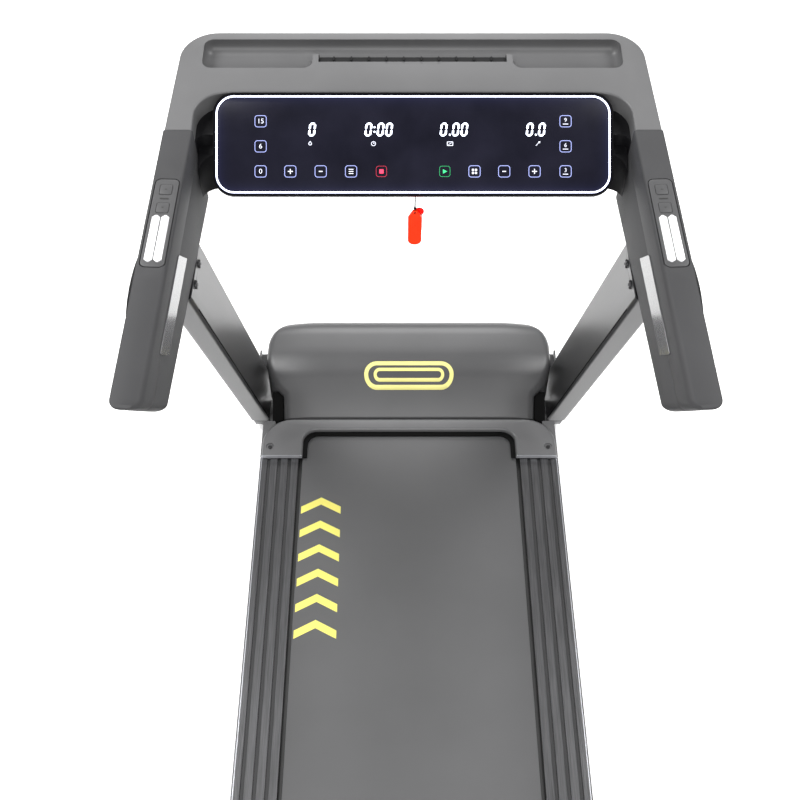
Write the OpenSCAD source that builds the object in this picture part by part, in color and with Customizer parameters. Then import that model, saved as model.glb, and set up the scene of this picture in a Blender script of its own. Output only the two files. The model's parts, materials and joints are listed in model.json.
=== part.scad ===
// Folding motorised treadmill with power incline, in millimetres.
// Origin: middle of the footprint, on the floor. +Y runs forward to the motor hood, +Z up.

/* [Deck] */
// Width of the deck over its side rails
deck_w = 620; // [600:1:624]
// Width of the running belt
belt_w = 445; // [430:1:450]
// Height of the belt's running surface above the floor
belt_top = 163; // [160:0.5:164]
// Rear end of the rail end caps
deck_rear = -840; // [-860:1:-800]
// Front end of the side rails
rail_front = 450; // [440:1:460]
// Radius of both rollers
roller_r = 24; // [22:0.5:25]
// Thickness of the running belt
belt_t = 2.4; // [1.8:0.1:2.6]

/* [Hood] */
// Width of the motor hood
hood_w = 610; // [590:1:612]
// Height of the hood's top above the floor
hood_top = 250; // [235:1:255]
// Front end of the hood
hood_front = 785; // [775:1:790]

/* [Stand] */
// Lean of the uprights towards the runner
upright_lean = 25.2; // [24.8:0.1:25.6]
// Outward splay of the uprights
upright_splay = 1.24; // [1.1:0.01:1.3]
// Depth of the upright's section
upright_d = 112; // [104:1:112]
// Thickness of the upright's section
upright_t = 42; // [38:1:42]
// Front end of the floor frame
base_front = 840; // [830:1:850]

/* [Console] */
// Height of the handlebar plane where grips and console cover meet
bar_z = 1025; // [1000:1:1060]
// Rise of the handlebar plane towards the front
bar_tilt = 6.1; // [5:0.1:7]
// Flare of each grip away from the middle
grip_yaw = 2.34; // [2:0.01:2.6]
// Width of a grip
grip_w = 44; // [42:1:46]
// Length of a grip
grip_l = 478; // [460:1:490]
// Height of a grip at its free end
grip_h = 112; // [108:1:116]
// Display width
glass_w = 600; // [580:1:600]
// Display height along its slope
glass_h = 150; // [140:1:150]
// Tilt of the display from horizontal
panel_tilt = 37.5; // [36:0.1:39]

/* [Fold and incline] */
// Length direction place of the fold pins
fold_y = 710; // [705:1:715]
// Height of the fold pins
fold_z = 100; // [98:1:102]
// Length direction place of the incline pivot
lift_y = 330; // [320:1:340]
// Height of the incline pivot
lift_z = 32; // [31:0.5:33]

/* [Hidden] */
$fn = 48;

// Running clearance between a shaft and its bore, on the radius
fit = 0.05;
// Small gap between neighbouring pieces
gap = 0.3;
deck_x = deck_w / 2;
rail_in = belt_w / 2 + 8;
rail_top = belt_top + 3;
rail_z = rail_top - 5.6;
roller_z = belt_top - belt_t - roller_r - gap;
front_roller_y = 535;
rear_roller_y = -775;
roller_l = belt_w + 10;
board_top = belt_top - belt_t - 0.6;
board_t = 18;
board_rear = -735;
board_front = 495;
frame_in = 246;
frame_out = 286;
frame_z = 82;
frame_top = 126;
axle_r = 8;
pulley_x = -237;
pulley_w = 12;
pulley_r = 27;
motor_y = 690;
motor_z = 152;
motor_pulley_r = 14.5;
drive_belt_t = 3;
base_z = 12;
base_top = 52;
bezel_z = 168;
bezel_t = 10;
shoe_in = 315.5;
shoe_out = 349;
wheel_y = 808;
wheel_r = 29;
wheel_z = 30.5;
wheel_axle_r = 5;
fold_pin_r = 10;
lift_pin_r = 9;
arm_in = 225;
arm_out = 243;
lever_y = 390;
lever_z = 77;
lever_bore_r = 7.4;
actuator_y = 620;
actuator_z = 40;
strut_x = 205;
strut_y = 615;
strut_z = 56;
strut_eye_y = -135;
strut_eye_z = 92;
key_x = 4;
waist_y = 660;
switch_y = 784;
switch_z = 106;
// Middle of the uprights where they leave the floor frame
upright_y = 705;
upright_z = 30;
upright_x = 313 + upright_t / 2;
upright_top = 872;
upright_wall = 4;
bolt_z = 861;
bolt_places = [333, 289];

// ---- shared shapes ----

module rounded(w, h, r) {
    square([w - 2 * r, h], center = true);
    square([w, h - 2 * r], center = true);
    for (x = [-1, 1], y = [-1, 1])
        translate([x * (w / 2 - r), y * (h / 2 - r)])
            circle(r);
}

module block(x0, x1, y0, y1, z0, z1) {
    translate([x0, y0, z0])
        cube([x1 - x0, y1 - y0, z1 - z0]);
}

module both() {
    for (s = [0, 1])
        mirror([s, 0, 0])
            children();
}

module rod_x(x0, x1, y, z, r) {
    translate([x0, y, z])
        rotate([0, 90, 0])
            cylinder(h = x1 - x0, r = r);
}

// Extrudes an outline drawn in Y and Z along X
module along_x(x0, x1) {
    translate([x0, 0, 0])
        rotate([90, 0, 90])
            linear_extrude(x1 - x0)
                children();
}

// Flat bar with round ends between two points of the Y-Z plane
module link(x0, x1, a, b, r) {
    len = norm(b - a);
    ang = atan2(b[1] - a[1], b[0] - a[0]);
    along_x(x0, x1)
        translate(a)
            rotate(ang) {
                circle(r);
                translate([len, 0])
                    circle(r);
                translate([0, -r])
                    square([len, 2 * r]);
            }
}

// Frame of the handlebar plane: its origin lies where grips and cover meet
module on_bars() {
    translate([0, rail_front, bar_z])
        rotate([bar_tilt, 0, 0])
            children();
}

// Frame of the right grip: Y runs along it, Z leaves its top face
module on_grip() {
    on_bars()
        translate([351.5, 0, 0])
            rotate([0, 0, grip_yaw])
                children();
}

// Frame of the display: origin at the middle of its lower edge
module on_panel() {
    translate([0, 395, 943])
        rotate([panel_tilt, 0, 0])
            children();
}

// Frame of the right upright: Z runs up along it
module on_upright() {
    translate([upright_x, upright_y, upright_z])
        rotate([0, upright_splay, 0])
            rotate([upright_lean, 0, 0])
                children();
}

// ---- stand ----

module base_frame() {
    color("dimgray")
        difference() {
            union() {
                both() {
                    // inner tube under the deck
                    block(255, 295, 120, 690, base_z, base_top);
                    // shoe under the upright
                    along_x(shoe_in, shoe_out)
                        polygon([[652, base_z], [633, base_top], [768, base_top], [768, base_z]]);
                    // fork plates that carry a transport wheel
                    block(shoe_in, shoe_in + 4, 767, base_front, base_z, base_top);
                    block(shoe_out - 4, shoe_out, 767, base_front, base_z, base_top);
                }
                block(-295, 295, 120, 160, base_z, base_top);
                block(-shoe_in - 1, shoe_in + 1, 650, 690, base_z, base_top);
                block(-shoe_in - 1, shoe_in + 1, base_front - 36, base_front - 2, base_z, base_top);
                // ears of the incline actuator
                for (x = [-24, 16])
                    link(x, x + 8, [actuator_y, actuator_z], [actuator_y + 34, actuator_z - 6], 11);
            }
            // bores of the incline pivot
            for (s = [-1, 1])
                rod_x(s * 275 - 21, s * 275 + 21, lift_y, lift_z, lift_pin_r + fit);
            rod_x(-30, 30, actuator_y, actuator_z, 5 + fit);
            // bores of the wheel axles
            for (s = [-1, 1])
                rod_x(s * 332 - 18, s * 332 + 18, wheel_y, wheel_z, wheel_axle_r + fit);
        }
}

module base_feet() {
    color("black")
        both() {
            translate([275, 140, 0])
                cylinder(h = base_z, r = 17);
            translate([(shoe_in + shoe_out) / 2, 674, 0])
                cylinder(h = base_z, r = 15);
        }
}

module upright_body() {
    difference() {
        on_upright()
            translate([0, 0, -80])
                linear_extrude(1240)
                    rounded(upright_t, upright_d, 7);
        on_upright()
            translate([0, 0, -90])
                linear_extrude(1260)
                    rounded(upright_t - 2 * upright_wall, upright_d - 2 * upright_wall, 3);
        block(200, 460, 400, 1000, -200, base_top);
        block(200, 460, -100, 700, upright_top, 1300);
        for (y = bolt_places)
            rod_x(300, 400, y, bolt_z, 4);
    }
}

module upright_left() {
    color([0.24, 0.24, 0.25])
        mirror([1, 0, 0])
            upright_body();
}

module upright_right() {
    color([0.24, 0.24, 0.25])
        upright_body();
}

module upright_bolts() {
    color("black")
        both()
            for (y = bolt_places) {
                rod_x(330, 358, y, bolt_z, 3.9);
                rod_x(327.1, 330.3, y, bolt_z, 7);
            }
}

module handlebar_frame() {
    color("gray")
        difference() {
            union() {
                both() {
                    // core tube of the grip
                    on_grip()
                        block(-12, 12, -414, 116, -80, -31);
                    // tenon that drops into the upright
                    on_upright() {
                        translate([0, 0, 850])
                            linear_extrude(69)
                                rounded(upright_t - 2 * upright_wall - 1, 60, 4);
                        translate([0, 0, 915])
                            linear_extrude(75)
                                rounded(24, 60, 4);
                    }
                }
                on_bars()
                    block(-345, 345, 88, 116, -80, -52);
            }
            both()
                for (y = bolt_places)
                    rod_x(320, 400, y, bolt_z, 4);
        }
}

// ---- console ----

module bars_outline(inset) {
    polygon([[-372 + inset, 0], [372 - inset, 0], [364.4 - inset, 155], [-364.4 + inset, 155]]);
    for (s = [-1, 1])
        translate([s * 306.4, 155])
            circle(58 - inset);
    translate([-306.4, 100])
        square([612.8, 113 - inset]);
}

// Inner corner cut of the console: half width, depth and corner radius
module bars_opening(x, y, r) {
    translate([-x, -10])
        square([2 * x, y - r + 10]);
    translate([-x + r, -10])
        square([2 * (x - r), y + 10]);
    for (s = [-1, 1])
        translate([s * (x - r), y - r])
            circle(r);
}

module tray_outline() {
    // strip behind the device slot, and a pocket at each end
    translate([0, 178])
        rounded(656, 32, 15);
    for (s = [-1, 1])
        translate([s * 242, 159])
            rounded(172, 70, 14);
}

module console_top_cover() {
    color([0.42, 0.42, 0.43])
        on_bars()
            difference() {
                translate([0, 0, -30])
                    linear_extrude(30)
                        difference() {
                            bars_outline(0);
                            bars_opening(331, 78, 45);
                        }
                translate([0, 0, -22])
                    linear_extrude(30)
                        tray_outline();
                block(-147, 147, 144, 163, -22, 10);
                block(-44, 44, 138, 163, -14, 10);
            }
}

// Side outline of the lower cover, its lowest edge drawn in by a wall
module cover_side(wall) {
    polygon([[440, 876 + wall], [440, 1010], [700 - wall, 1030], [700 - wall, 990 + wall],
        [590 - wall, 912 + wall], [520 - wall / 2, 880 + wall]]);
}

module console_lower_cover() {
    color([0.2, 0.2, 0.21])
        difference() {
            union() {
                intersection() {
                    on_bars()
                        translate([0, 0, -170])
                            linear_extrude(170 - 30.2)
                                difference() {
                                    bars_outline(3);
                                    bars_opening(330, 20, 15);
                                }
                    along_x(-380, 380)
                        cover_side(0);
                }
                // cross piece under the display, rounded into both arms
                intersection() {
                    translate([0, 0, 880])
                        linear_extrude(120)
                            difference() {
                                union() {
                                    translate([-328.5, 425])
                                        square([657, 125]);
                                    translate([-333, 472])
                                        square([666, 78]);
                                }
                                cross_opening();
                            }
                    along_x(-333, 333)
                        polygon([[425, 905], [425, 952], [455, 974], [550, 985], [550, 905]]);
                }
                // wedge and tray that carry the display
                along_x(-285, 285)
                    polygon([[405, 938], [514, 1022], [514, 912], [462, 905]]);
                on_panel()
                    translate([0, 78, -8])
                        linear_extrude(4.7)
                            rounded(604, 154, 31);
            }
            // hollow inside the cover
            intersection() {
                on_bars()
                    block(-326, 326, 60, 200, -170, -36);
                along_x(-326, 326)
                    cover_side(4);
            }
            both()
                on_grip()
                    block(-13, 13, -30, 120, -82, -22);
            on_bars()
                block(-350, 350, 86, 118, -82, -22);
            // socket of the safety key
            on_key()
                translate([0, 0, -45])
                    cylinder(h = 53, r = 15.2);
        }
}

// Room between the arms, behind the cross piece of the lower cover
module cross_opening() {
    translate([-300, 400])
        square([600, 55]);
    for (s = [-1, 1])
        translate([s * 300, 425])
            circle(30);
}

// Frame of the safety key: Z runs into its socket
module on_key() {
    translate([key_x, 454, 932.7])
        rotate([-30, 0, 0])
            children();
}

module display_glass() {
    color([0.03, 0.03, 0.05])
        on_panel()
            translate([0, 78, -3])
                linear_extrude(7.6)
                    rounded(glass_w, glass_h, 29);
}

module display_light_frame() {
    color([0.85, 0.88, 1.0])
        on_panel()
            translate([0, 78, -3])
                linear_extrude(8)
                    difference() {
                        rounded(glass_w + 7, glass_h + 7, 32.5);
                        rounded(glass_w + 0.4, glass_h + 0.4, 29.2);
                    }
}

module device_pad() {
    color([0.08, 0.08, 0.08])
        on_bars() {
            block(-146, 146, 144.5, 162.5, -21.9, -19.5);
            for (i = [-5 : 4])
                block(i * 27.4 + 12.7, i * 27.4 + 14.7, 145, 162, -20, -18);
        }
}

// ---- grips ----

module grip_outline(w, l) {
    translate([-w / 2, -l + 16])
        square([w, l - 13]);
    translate([-w / 2 + 16, -l])
        square([w - 32, 20]);
    for (s = [-1, 1])
        translate([s * (w / 2 - 16), -l + 16])
            circle(16);
}

// Everything of a grip in front of the butt joint with the console cover
module butt_trim() {
    on_bars()
        block(290, 420, -gap, 60, -200, 20);
}

module grip_upper() {
    difference() {
        on_grip()
            difference() {
                intersection() {
                    translate([0, 0, -52])
                        linear_extrude(52)
                            grip_outline(grip_w, grip_l);
                    along_x(-30, 30)
                        polygon([[-grip_l, 0], [20, 0], [20, -52], [-grip_l + 25, -52]]);
                }
                // hollow for the core tube
                block(-13, 13, -grip_l + 34, 10, -60, -19);
                // pocket of the keypad bezel
                translate([0, -178, -4])
                    linear_extrude(10)
                        rounded(34.4, 160.4, 8.2);
                for (y = [-118, -152])
                    block(-9.5, 9.5, y - 10, y + 10, -10, 1);
            }
        butt_trim();
    }
}

module grip_left() {
    color([0.3, 0.3, 0.31])
        mirror([1, 0, 0])
            grip_upper();
}

module grip_right() {
    color([0.3, 0.3, 0.31])
        grip_upper();
}

module grip_lower_shells() {
    color([0.22, 0.22, 0.23])
        both()
            difference() {
                on_grip()
                    difference() {
                        intersection() {
                            translate([0, 0, -160])
                                linear_extrude(160 - 52.2)
                                    grip_outline(grip_w, grip_l - 2);
                            along_x(-30, 30)
                                polygon([[-grip_l + 25, -52], [4, -52], [4, -grip_h - 34],
                                    [-grip_l + 64, -grip_h - 2], [-grip_l + 50, -grip_h + 8]]);
                        }
                        block(-13, 13, -grip_l + 58, 10, -grip_h + 4, -50);
                    }
                butt_trim();
                // opening for the tenon
                on_upright()
                    translate([0, 0, 840])
                        linear_extrude(200)
                            rounded(26, 62, 4);
            }
}

module grip_inlays() {
    color([0.6, 0.6, 0.6])
        both()
            on_grip()
                along_x(-grip_w / 2 - 1.6, -grip_w / 2)
                    polygon([[-202, -43], [-376, -39], [-336, -103], [-158, -109]]);
}

module keypad_bezels() {
    color([0.25, 0.25, 0.26])
        both()
            on_grip()
                translate([0, -178, -4])
                    linear_extrude(3.6)
                        difference() {
                            rounded(34, 160, 8);
                            for (y = [60, 26])
                                translate([0, y])
                                    rounded(18.8, 19.8, 3.4);
                            for (s = [-1, 1])
                                translate([s * 6.6, -30])
                                    rounded(12.2, 84.2, 3.1);
                        }
}

module pulse_plates() {
    color([0.85, 0.85, 0.86])
        both()
            on_grip()
                for (s = [-1, 1])
                    translate([s * 6.6, -208, -4])
                        linear_extrude(5)
                            rounded(12, 84, 3);
}

// One push button, at a place along the right grip
module grip_button(y) {
    on_grip() {
        translate([0, y, -3.6])
            linear_extrude(4.6)
                rounded(18, 19, 3);
        translate([0, y, -8])
            cylinder(h = 5, r = 4);
    }
}

module incline_up_button() {
    color([0.3, 0.3, 0.32])
        mirror([1, 0, 0])
            grip_button(-118);
}

module incline_down_button() {
    color([0.3, 0.3, 0.32])
        mirror([1, 0, 0])
            grip_button(-152);
}

module speed_up_button() {
    color([0.3, 0.3, 0.32])
        grip_button(-118);
}

module speed_down_button() {
    color([0.3, 0.3, 0.32])
        grip_button(-152);
}

// ---- safety key, cord and clip ----

module key_socket() {
    color([0.1, 0.1, 0.1])
        on_key()
            translate([0, 0, -20])
                difference() {
                    cylinder(h = 26, r = 15);
                    translate([0, 0, -1])
                        cylinder(h = 20, r = 12);
                }
}

module safety_key() {
    color([0.75, 0.08, 0.05])
        on_key()
            translate([0, 0, -21]) {
                cylinder(h = 19, r = 11.6);
                translate([0, 0, -3])
                    cylinder(h = 4, r = 5);
            }
}

// The cord's route, from the key down to the clip
cord_r = 1;
cord_points = [[4, 442, 911.9], [4, 440.2, 908.4], [4, 438.6, 904.4], [4, 437.5, 900.2],
    [4, 436.9, 896], [4, 436.6, 891.5], [4, 436.6, 885], [4, 436.6, 877], [4, 436.6, 867],
    [4, 436.6, 857]];
cord_sides = 8;

function ring(i, side) =
    let (a = cord_points[max(i - 1, 0)],
        b = cord_points[min(i + 1, len(cord_points) - 1)],
        d = (b - a) / norm(b - a),
        u = [1, 0, 0],
        v = cross(d, u),
        t = 360 * side / cord_sides)
    cord_points[i] + cord_r * (cos(t) * u + sin(t) * v);

module safety_cord() {
    n = len(cord_points);
    color("black")
        polyhedron(
            points = [for (i = [0 : n - 1], s = [0 : cord_sides - 1]) ring(i, s)],
            faces = concat(
                [[for (s = [0 : cord_sides - 1]) s]],
                [for (i = [0 : n - 2], s = [0 : cord_sides - 1])
                    [i * cord_sides + s, (i + 1) * cord_sides + s,
                        (i + 1) * cord_sides + (s + 1) % cord_sides,
                        i * cord_sides + (s + 1) % cord_sides]],
                [[for (s = [cord_sides - 1 : -1 : 0]) (n - 1) * cord_sides + s]]));
}

clip_y = 440.2;
clip_z = 862;

module clip_front_jaw() {
    color([1.0, 0.2, 0.08]) {
        difference() {
            translate([4, 438.4, 838.5])
                rotate([90, 0, 0])
                    linear_extrude(3.6)
                        rounded(22, 75, 10.5);
            // hole that holds the end of the cord
            translate([4, 436.6, 856.9])
                cylinder(h = 24, r = 1.05);
        }
        // ears and pin of the clip's hinge
        for (x = [-3, 12.3]) {
            rod_x(x, x + 2.7, clip_y, clip_z, 1.1);
            block(x, x + 2.7, 438.3, clip_y, clip_z - 1.1, clip_z + 1.1);
        }
        rod_x(-2, 14, clip_y, clip_z, 0.8);
    }
}

module clip_back_jaw() {
    color([0.8, 0.1, 0.05])
        difference() {
            union() {
                translate([7, 444.6, 847])
                    rotate([90, 0, 0])
                        linear_extrude(3)
                            rounded(20, 62, 9.5);
                rod_x(0, 12, clip_y, clip_z, 1.5);
            }
            rod_x(-1, 13, clip_y, clip_z, 0.85);
        }
}

module rod_y(x, y0, y1, z, r) {
    translate([x, y1, z])
        rotate([90, 0, 0])
            cylinder(h = y1 - y0, r = r);
}

// ---- transport wheels ----

module wheel_axles() {
    color("silver")
        both()
            rod_x(shoe_in, shoe_out, wheel_y, wheel_z, wheel_axle_r);
}

module wheel(s) {
    x = s * (shoe_in + shoe_out) / 2;
    difference() {
        rod_x(x - 11, x + 11, wheel_y, wheel_z, wheel_r);
        // recess around the hub in each face
        for (k = [-1, 1])
            difference() {
                rod_x(x + k * 11 - 2, x + k * 11 + 2, wheel_y, wheel_z, 20);
                rod_x(x - 14, x + 14, wheel_y, wheel_z, 9);
            }
        rod_x(x - 12, x + 12, wheel_y, wheel_z, wheel_axle_r + fit);
    }
}

module transport_wheel_left() {
    color("black")
        wheel(-1);
}

module transport_wheel_right() {
    color("black")
        wheel(1);
}

// ---- incline frame and fold ----

module incline_frame() {
    color([0.35, 0.35, 0.36])
        difference() {
            union() {
                both() {
                    link(arm_in, arm_out, [lift_y, lift_z], [fold_y, fold_z], 18);
                    rod_x(arm_in, 290, lift_y, lift_z, lift_pin_r);
                }
                block(-arm_in - 1, arm_in + 1, lift_y + 10, lift_y + 40, lift_z - 12, lift_z + 16);
                for (x = [-24, 16])
                    link(x, x + 8, [lift_y + 28, lift_z + 6], [lever_y, lever_z], 12);
            }
            rod_x(-260, 260, fold_y, fold_z, fold_pin_r + fit);
            // wide bore: this pivot is the open one of the actuator's linkage
            rod_x(-30, 30, lever_y, lever_z, lever_bore_r);
        }
}

module fold_pins() {
    color("silver")
        both() {
            rod_x(221, 289, fold_y, fold_z, fold_pin_r);
            rod_x(219, 222, fold_y, fold_z, 15);
        }
}

module strut_bracket() {
    color([0.3, 0.3, 0.3]) {
        for (x = [strut_x - 13, strut_x + 9])
            link(x, x + 5 - (x < strut_x ? 1 : 0), [fold_y, fold_z], [strut_y, strut_z], 14);
        rod_x(strut_x - 10, strut_x + 10, fold_y, fold_z, 12);
        rod_x(strut_x - 13, strut_x + 13, strut_y, strut_z, 5);
    }
}

// Frame of the gas strut: Y runs from its lower eye to its upper eye
module strut_frame() {
    ang = atan2(strut_eye_z - strut_z, strut_eye_y - strut_y);
    translate([strut_x, strut_y, strut_z])
        rotate([ang, 0, 0])
            children();
}

module strut_cylinder() {
    color([0.12, 0.12, 0.12])
        difference() {
            strut_frame() {
                translate([0, 462, 0])
                    rotate([90, 0, 0])
                        cylinder(h = 444, r = 10.5);
                translate([0, 20, 0])
                    rotate([90, 0, 0])
                        cylinder(h = 12, r = 6);
                translate([-8, 0, 0])
                    rotate([0, 90, 0])
                        cylinder(h = 16, r = 12);
            }
            rod_x(strut_x - 20, strut_x + 20, strut_y, strut_z, 5 + fit);
            strut_frame()
                translate([0, 470, 0])
                    rotate([90, 0, 0])
                        cylinder(h = 440, r = 5 + fit);
        }
}

module strut_rod() {
    color("silver")
        strut_frame() {
            translate([0, 742, 0])
                rotate([90, 0, 0])
                    cylinder(h = 440, r = 5);
            translate([-5, 740, -8])
                cube([10, 20, 16]);
            translate([-17, 751, 0])
                rotate([0, 90, 0])
                    cylinder(h = 34, r = 4);
        }
}

module actuator_frame() {
    ang = atan2(lever_z - actuator_z, lever_y - actuator_y);
    translate([0, actuator_y, actuator_z])
        rotate([ang, 0, 0])
            children();
}

module actuator_body() {
    color([0.15, 0.15, 0.15]) {
        difference() {
            actuator_frame() {
                rotate([0, 90, 0])
                    translate([0, 0, -14])
                        cylinder(h = 28, r = 12);
                translate([0, 130, 0])
                    rotate([90, 0, 0])
                        cylinder(h = 122, r = 15);
                // gear case with the small motor beside it
                block(-26, 40, 30, 64, -15, 13);
                translate([54, 118, 0])
                    rotate([90, 0, 0])
                        cylinder(h = 92, r = 15);
                block(38, 54, 30, 60, -13, 13);
            }
            actuator_frame()
                translate([0, 140, 0])
                    rotate([90, 0, 0])
                        cylinder(h = 116, r = 8 + fit);
        }
        rod_x(-24, 24, actuator_y, actuator_z, 5);
    }
}

module actuator_screw() {
    len = norm([lever_y - actuator_y, lever_z - actuator_z]);
    color("silver") {
        actuator_frame() {
            translate([0, len - 8, 0])
                rotate([90, 0, 0])
                    cylinder(h = len - 44, r = 8);
            translate([-14, len, 0])
                rotate([0, 90, 0])
                    cylinder(h = 28, r = 11);
        }
        rod_x(-24, 24, lever_y, lever_z, 5);
    }
}

// ---- deck ----

module deck_frame() {
    color([0.16, 0.16, 0.17])
        difference() {
            union() {
                both() {
                    block(frame_in, frame_out, -812, 740, frame_z, frame_top);
                    // brackets of both rollers
                    for (y = [front_roller_y, rear_roller_y])
                        block(frame_in + 4, frame_in + 14, y - 20, y + 20, frame_top - 2, 156);
                    // rail supports outside the side tubes
                    for (y = [-760 : 290 : 400])
                        block(frame_out - 1, deck_x - 4.2, y, y + 30, frame_top - 16, frame_top);
                }
                for (y = [-640, -190, 240])
                    block(-frame_in - 1, frame_in + 1, y, y + 36, frame_z + 4, frame_z + 20);
                block(-256, 256, 739, 763, frame_z + 4, frame_top);
                // plate under the motor and its controller
                block(-200, 180, 640, 741, frame_z + 6, frame_z + 12);
                // slotted ears of the gas strut
                for (x = [strut_x - 17, strut_x + 12])
                    block(x, x + 5, strut_eye_y - 26, strut_eye_y + 30, frame_z - 14, frame_z + 20);
            }
            for (s = [-1, 1]) {
                rod_x(s * 266 - 22, s * 266 + 22, fold_y, fold_z, fold_pin_r + fit);
                for (y = [front_roller_y, rear_roller_y])
                    rod_x(s * 255 - 8, s * 255 + 8, y, roller_z, axle_r);
            }
            // slots that give the strut rod's pin its room
            block(strut_x - 20, strut_x + 20, strut_eye_y - 20, strut_eye_y + 20,
                strut_eye_z - 19, strut_eye_z + 5);
            // bores of the belt adjusters
            for (s = [-1, 1])
                rod_y(s * 255, -840, rear_roller_y, roller_z, 3.05);
        }
}

module running_board() {
    color([0.35, 0.27, 0.2])
        block(-262, 262, board_rear, board_front, board_top - board_t, board_top);
}

module board_cushions() {
    color("black")
        both()
            for (y = [-680, -420, -160, 100, 360])
                translate([253, y, frame_top])
                    cylinder(h = board_top - board_t - frame_top, r = 6.5);
}

// Endless belt around two rollers, outline in Y and Z
module loop_outline(y0, z0, r0, y1, z1, r1) {
    d = norm([y1 - y0, z1 - z0]);
    ang = atan2(z1 - z0, y1 - y0);
    off = asin((r0 - r1) / d);
    translate([y0, z0])
        rotate(ang) {
            circle(r0);
            translate([d, 0])
                circle(r1);
            polygon([
                [r0 * sin(off), r0 * cos(off)],
                [d + r1 * sin(off), r1 * cos(off)],
                [d + r1 * sin(off), -r1 * cos(off)],
                [r0 * sin(off), -r0 * cos(off)]]);
        }
}

module running_belt() {
    color([0.13, 0.13, 0.13])
        difference() {
            along_x(-belt_w / 2, belt_w / 2)
                loop_outline(rear_roller_y, roller_z, roller_r + gap + belt_t,
                    front_roller_y, roller_z, roller_r + gap + belt_t);
            along_x(-belt_w / 2 - 1, belt_w / 2 + 1)
                loop_outline(rear_roller_y, roller_z, roller_r + gap,
                    front_roller_y, roller_z, roller_r + gap);
        }
}

module side_rail() {
    difference() {
        union() {
            block(rail_in, deck_x, deck_rear + 20, rail_front, rail_z, rail_top);
            block(deck_x - 4, deck_x, deck_rear + 20, rail_front, frame_z - 2, rail_top);
        }
        // three grooves along the tread surface
        for (x = [rail_in + 18, rail_in + 40, rail_in + 62])
            block(x - 3, x + 3, deck_rear - 5, rail_front + 5, rail_top - 2.4, rail_top + 1);
    }
}

module side_rail_left() {
    color([0.4, 0.4, 0.41])
        mirror([1, 0, 0])
            side_rail();
}

module side_rail_right() {
    color([0.4, 0.4, 0.41])
        side_rail();
}

module rail_end_caps() {
    color([0.12, 0.12, 0.12])
        both()
            difference() {
                translate([0, deck_rear, frame_z - 8])
                    linear_extrude(rail_top - frame_z + 8) {
                        translate([rail_in, 8])
                            square([deck_x - rail_in, 12]);
                        translate([rail_in + 8, 0])
                            square([deck_x - rail_in - 16, 12]);
                        for (x = [rail_in + 8, deck_x - 8])
                            translate([x, 8])
                                circle(8);
                    }
                rod_y(255, deck_rear - 1, deck_rear + 30, roller_z, 6.6);
            }
}

module hood_plan(inset) {
    r = 90;
    x = hood_w / 2 - inset;
    y = hood_front - inset;
    translate([-x, waist_y])
        square([2 * x, y - r - waist_y]);
    translate([-x + r, waist_y])
        square([2 * (x - r), y - waist_y]);
    for (s = [-1, 1]) {
        translate([s * (x - r), y - r])
            circle(r);
        // waist beside the uprights
        translate([s * (x - 80), waist_y])
            circle(80);
    }
    translate([-x + 38, 547 + inset])
        square([2 * (x - 38), 150]);
}

module hood_side(inset) {
    top = hood_top - inset;
    polygon([[546 + inset, 84], [546 + inset, 180 - inset], [620, top - 14], [680, top],
        [740, top], [hood_front - 26 - inset, top - 8], [hood_front - 6 - inset, top - 30],
        [hood_front - inset, 92], [hood_front - inset, 84]]);
}

module hood_solid(inset, z0) {
    intersection() {
        union() {
            translate([0, 0, z0])
                linear_extrude(200)
                    hood_plan(inset);
            // the skirt reaches lower in front of the waist
            intersection() {
                translate([0, 0, z0 - 40])
                    linear_extrude(60)
                        hood_plan(inset);
                block(-400, 400, 665 - inset, 900, 0, 300);
            }
        }
        along_x(-400, 400)
            hood_side(inset);
    }
}

module motor_hood() {
    color([0.3, 0.3, 0.31])
        difference() {
            hood_solid(0, 128);
            hood_solid(4, 100);
            // open towards the roller, below the bezel
            block(-261, 261, 500, 556, 80, bezel_z);
            // cut-outs of the power inlet and the switch
            block(195.7, 232.3, 770, 800, 93.7, 118.3);
            block(167.6, 186.4, 770, 800, 96.6, 115.4);
        }
}

module bezel_outline(x, y, r) {
    translate([-x, rail_front])
        square([2 * x, y - r - rail_front]);
    translate([-x + r, rail_front])
        square([2 * (x - r), y - rail_front]);
    for (s = [-1, 1])
        translate([s * (x - r), y - r])
            circle(r);
}

module hood_bezel() {
    color([0.32, 0.32, 0.33])
        difference() {
            union() {
                translate([0, 0, bezel_z])
                    linear_extrude(bezel_t)
                        difference() {
                            translate([0, 0.2])
                                bezel_outline(deck_x - 3, 545.5, 62);
                            translate([0, -5])
                                bezel_outline(222, 521, 18);
                        }
                // side skirts that continue the rails
                both()
                    block(deck_x - 4, deck_x, rail_front + 0.2, 545, frame_z - 2, rail_top);
                both()
                    block(deck_x - 20, deck_x, rail_front + 0.2, 545, rail_z, bezel_z);
                // wings that fill the hood's waist
                both()
                    difference() {
                        along_x(hood_w / 2 - 37.4, 291)
                            polygon([[540, 130], [540, 162], [612, 206], [612, 130]]);
                        translate([hood_w / 2 - 80, waist_y, 120])
                            cylinder(h = 100, r = 80.4);
                    }
            }
            both()
                translate([290, 472, 150])
                    cylinder(h = 40, r = 2.6);
            both()
                translate([290, 472, 176])
                    cylinder(h = 10, r = 6);
        }
}

module hood_screws() {
    color("black")
        both()
            translate([290, 472, 158]) {
                cylinder(h = 19, r = 2.5);
                translate([0, 0, 18])
                    cylinder(h = 2.4, r = 5.2);
            }
}

module belly_pan() {
    color([0.1, 0.1, 0.1])
        difference() {
            block(-216, 180, 566, 757, frame_z - 6, frame_z - 3);
            for (x = [-120, -60, 0, 60, 120])
                block(x - 6, x + 6, 600, 640, frame_z - 8, frame_z);
        }
}

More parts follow.
